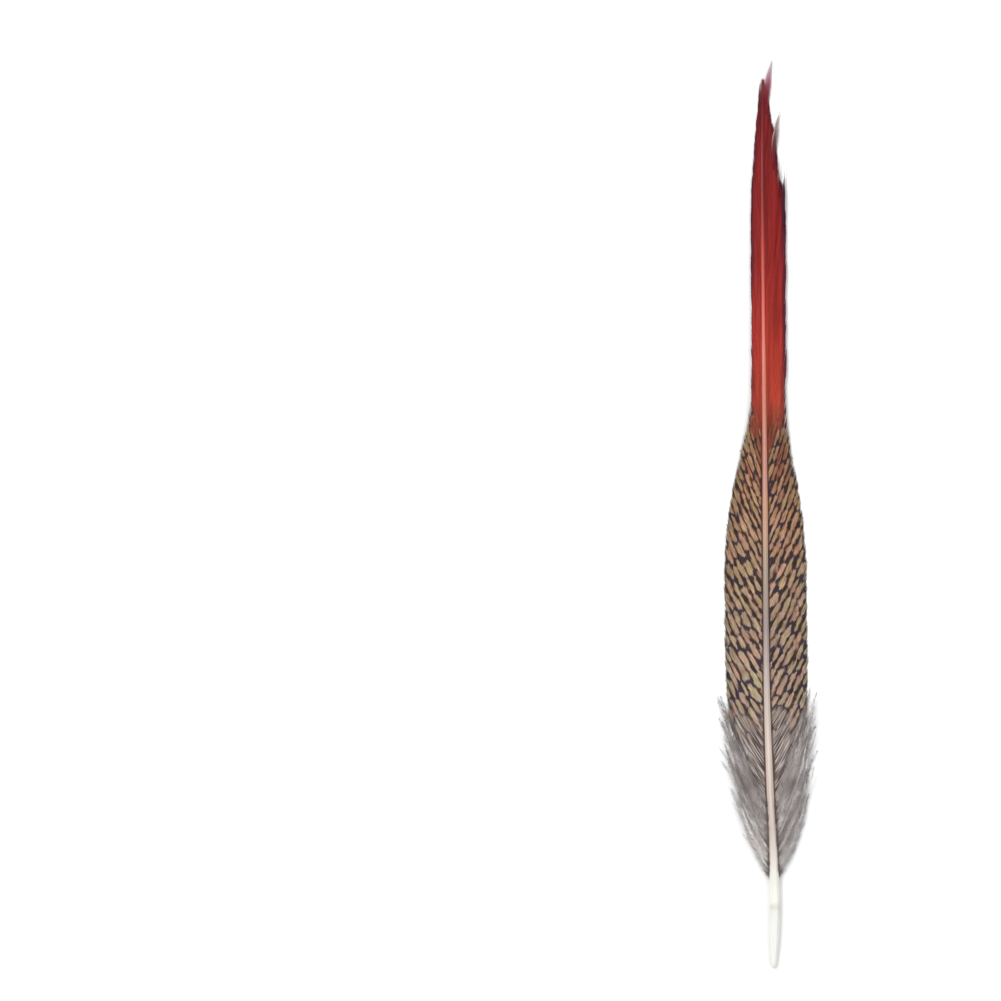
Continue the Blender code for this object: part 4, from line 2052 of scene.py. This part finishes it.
@dataclass
class TipTufts:
    """The loose locks at the tip, each a narrow fan of barbs that ends in a point.

    Attributes:
        plan: The feather's lines.
        material: The tufts' material.
        seed: The seed of their unevenness.
        locks: For each lock the distances along to its root and its tip, how far right of the
            shaft its root and its tip are, the height of its tip and its half width.
        dull: How greyish each lock is.
        dark: How much of each lock is as dark as the web's margin.
        bend: How late along its length a lock bends outwards.
        barbs: How many barbs a lock has.
        jitter: How unevenly they are spread, and rooted as a share of the lock's length.
        shorter: How much shorter the outer ones are, as a share of that length.
        uneven: How unevenly high they lie.
        thickness: A barb's half width.
        bake_columns: How many barbs lie side by side in the baked texture.
    """

    plan: FeatherPlan
    material: bpy.types.Material
    seed: int
    locks: Table = (
        (249.0, 264.0, 1.2, 2.9, 0.6, 0.76),
        (250.5, 257.8, -0.5, -0.3, 0.5, 0.34),
        (233.0, 248.6, 3.3, 5.2, 0.7, 0.66),
        (215.0, 231.2, 6.0, 6.6, 1.0, 0.42),
        (224.0, 234.8, 4.7, 5.1, 1.0, 0.16),
    )
    dull: tuple[float, ...] = (0.0, 1.0, 1.0, 0.3, 1.0)
    dark: tuple[float, ...] = (0.0, 0.45, 0.1, 1.0, 0.0)
    bend: float = 2.2
    barbs: int = 22
    jitter: float = 0.12
    shorter: float = 0.24
    uneven: float = 0.05
    thickness: float = 0.085
    bake_columns: int = 7

    def lock(self, row: tuple[float, ...], chance: np.random.Generator) -> Array:
        """The points of the barbs of one lock.

        Args:
            row: The lock's row of the table.
            chance: The source of unevenness.

        Returns:
            The points, shaped (barbs, rings, 3).
        """
        root, tip, out_from, out_to, height, half = row
        run = np.linspace(0, 1, BARB.rings)[None]
        each = (self.barbs, 1)
        spread = np.linspace(-1, 1, self.barbs)[:, None] + chance.normal(0, self.jitter, each)
        short = self.shorter * (tip - root) * np.abs(spread) ** 1.2
        ends = tip - short * chance.uniform(0.5, 1, each)
        ends[self.barbs // 2] = tip
        starts = root + chance.uniform(-self.jitter, self.jitter, each) * (tip - root)
        y = starts + (ends - starts) * run
        reach = np.clip((y - root) / (tip - root), 0, 1)
        spread = spread * (np.sin(np.pi * run**1.3) * 0.9 + 0.1)
        sideways = out_from + (out_to - out_from) * reach**self.bend + spread * half
        x = self.plan.read(self.plan.shaft, 1, y, self.plan.shaft_reach) + sideways
        low = self.plan.read(self.plan.shaft, 2, np.array([root]), self.plan.shaft_reach)[0]
        z = low + (height - low) * run + chance.normal(0, self.uneven, each)
        return np.stack((x, y, np.maximum(z, LOWEST_BARB)), axis=-1)

    def build(self) -> bpy.types.Object:
        """Lays the locks and dresses them.

        Returns:
            The tufts.
        """
        chance = np.random.default_rng(self.seed)
        points = np.concatenate([self.lock(row, chance) for row in self.locks])
        count, rings = points.shape[:2]
        run = np.broadcast_to(np.linspace(0, 1, rings), (count, rings))
        half_width = self.thickness * np.clip((1 - run) / 0.35, 0.22, 1) ** 0.6
        across = np.broadcast_to(np.arange(count)[:, None], run.shape)
        flow = np.stack((across, points[..., 1]), axis=-1)
        marks = {"tone": repeated(chance.random(count), rings), "run": run}
        for mark, shares in (("dull", self.dull), ("dark", self.dark)):
            marks[mark] = repeated(np.repeat(shares, self.barbs), rings)
        strands = Strands(
            points,
            np.broadcast_to(UP, points.shape),
            half_width,
            0.8 * half_width,
            marks,
            flow,
            half_width,
            patches(count, self.bake_columns),
        )
        return dress(strands.lay("tip_tufts", BARB), Slot.RED_WEB, self.material)


# ---------------------------------------------------------------- the studio


@dataclass
class Studio:
    """The surface below the feather, the lights and the camera.

    Attributes:
        frame_width: The width of the picture on the surface, in metres.
        frame_middle: The middle of the picture on the surface.
        camera_height: The height of the camera, in metres.
        floor_size: The side of the surface, in metres.
        sensor: The width of the camera's sensor.
        sky: The strength of the sky.
        lamps: For each lamp its name, its place, how wide it is and its power.
    """

    frame_width: float = 0.2903
    frame_middle: tuple[float, float] = (-0.0773, 0.0033)
    camera_height: float = 2.0
    floor_size: float = 6.0
    sensor: float = 36.0
    sky: float = 0.62
    lamps: tuple[tuple[str, tuple[float, float, float], float, float], ...] = (
        ("key", (-0.55, 0.35, 1.0), 0.5, 9.0),
        ("fill", (0.7, -0.4, 1.1), 0.9, 5.0),
    )

    def floor(self) -> None:
        """Lays the plain surface."""
        deselect_all()
        bpy.ops.mesh.primitive_plane_add(size=self.floor_size, location=(0, 0, 0))
        floor = bpy.context.object
        floor.name = "floor"
        made = bpy.data.materials.new("floor")
        made.use_nodes = True
        shader = made.node_tree.nodes["Principled BSDF"]
        shader.inputs["Base Color"].default_value = (0.86, 0.86, 0.86, 1.0)
        shader.inputs["Roughness"].default_value = 0.9
        shader.inputs["Specular IOR Level"].default_value = 0.1
        floor.data.materials.append(made)
        floor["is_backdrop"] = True

    def lamp(self, name: str, place: Sequence[float], size: float, power: float) -> None:
        """Adds a soft lamp that faces the feather.

        Args:
            name: Its name.
            place: Its place, in metres.
            size: How wide it is, in metres.
            power: Its power.
        """
        light = bpy.data.lights.new(name, "AREA")
        light.shape = "DISK"
        light.size = size
        light.energy = power
        lamp = bpy.data.objects.new(name, light)
        lamp.location = place
        lamp.rotation_euler = (-Vector(place)).to_track_quat("-Z", "Y").to_euler()
        bpy.context.scene.collection.objects.link(lamp)

    def lights(self) -> None:
        """Adds the even sky and the lamps."""
        world = bpy.data.worlds.new("sky")
        world.use_nodes = True
        back = world.node_tree.nodes["Background"]
        back.inputs["Color"].default_value = (1.0, 1.0, 1.0, 1.0)
        back.inputs["Strength"].default_value = self.sky
        bpy.context.scene.world = world
        for lamp in self.lamps:
            self.lamp(*lamp)

    def camera(self) -> None:
        """Hangs the camera over the surface, looking straight down."""
        lens = bpy.data.cameras.new("camera")
        lens.sensor_width = self.sensor
        lens.lens = self.sensor * self.camera_height / self.frame_width
        lens.clip_end = 100.0
        camera = bpy.data.objects.new("camera", lens)
        camera.location = (*self.frame_middle, self.camera_height)
        bpy.context.scene.collection.objects.link(camera)
        bpy.context.scene.camera = camera

    def build(self) -> None:
        """Sets up the studio."""
        self.floor()
        self.lights()
        self.camera()
        bpy.context.scene.view_settings.view_transform = "Standard"


def main() -> None:
    """Builds the feather piece by piece."""
    logging.basicConfig(level=logging.INFO, format="%(message)s")
    plan = FeatherPlan()
    effects = Effects()
    Studio().build()
    Shaft(plan, ShaftFinish("horn", effects).make()).build()
    barred = WebFinish("barred_barbs", effects).make()
    red = WebFinish("red_barbs", effects, roughness=0.5, gloss=0.18).make()
    down = DownFinish("grey_down", effects).make()
    for number, side in enumerate(Side):
        Web(
            side, plan, barred, "barred_web", Slot.BARRED_WEB, roots=(45.0, 150.0), spacing=0.44,
            lock=(2.6, 7.5), pull=(0.0, 0.05), split=(0.03, 0.08), ragged=0.015,
            seed=BARRED_SEED + number,
        ).build()
        Web(
            side, plan, red, "red_web", Slot.RED_WEB, roots=(150.0, 256.0), spacing=0.50,
            lock=(3.0, 9.0), pull=(0.0, 0.04), split=(0.04, 0.15), ragged=0.012,
            seed=RED_SEED + number, hairs=5, hair_length=0.3,
        ).build()
        Down(side, plan, down, DOWN_SEED + number).build()
    TipTufts(plan, TuftFinish("tuft_barbs", effects).make(), TUFT_SEED).build()
    [[list(corner) for corner in box] for box in (CAD_BOX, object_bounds())]


if __name__ == "__main__":
    main()
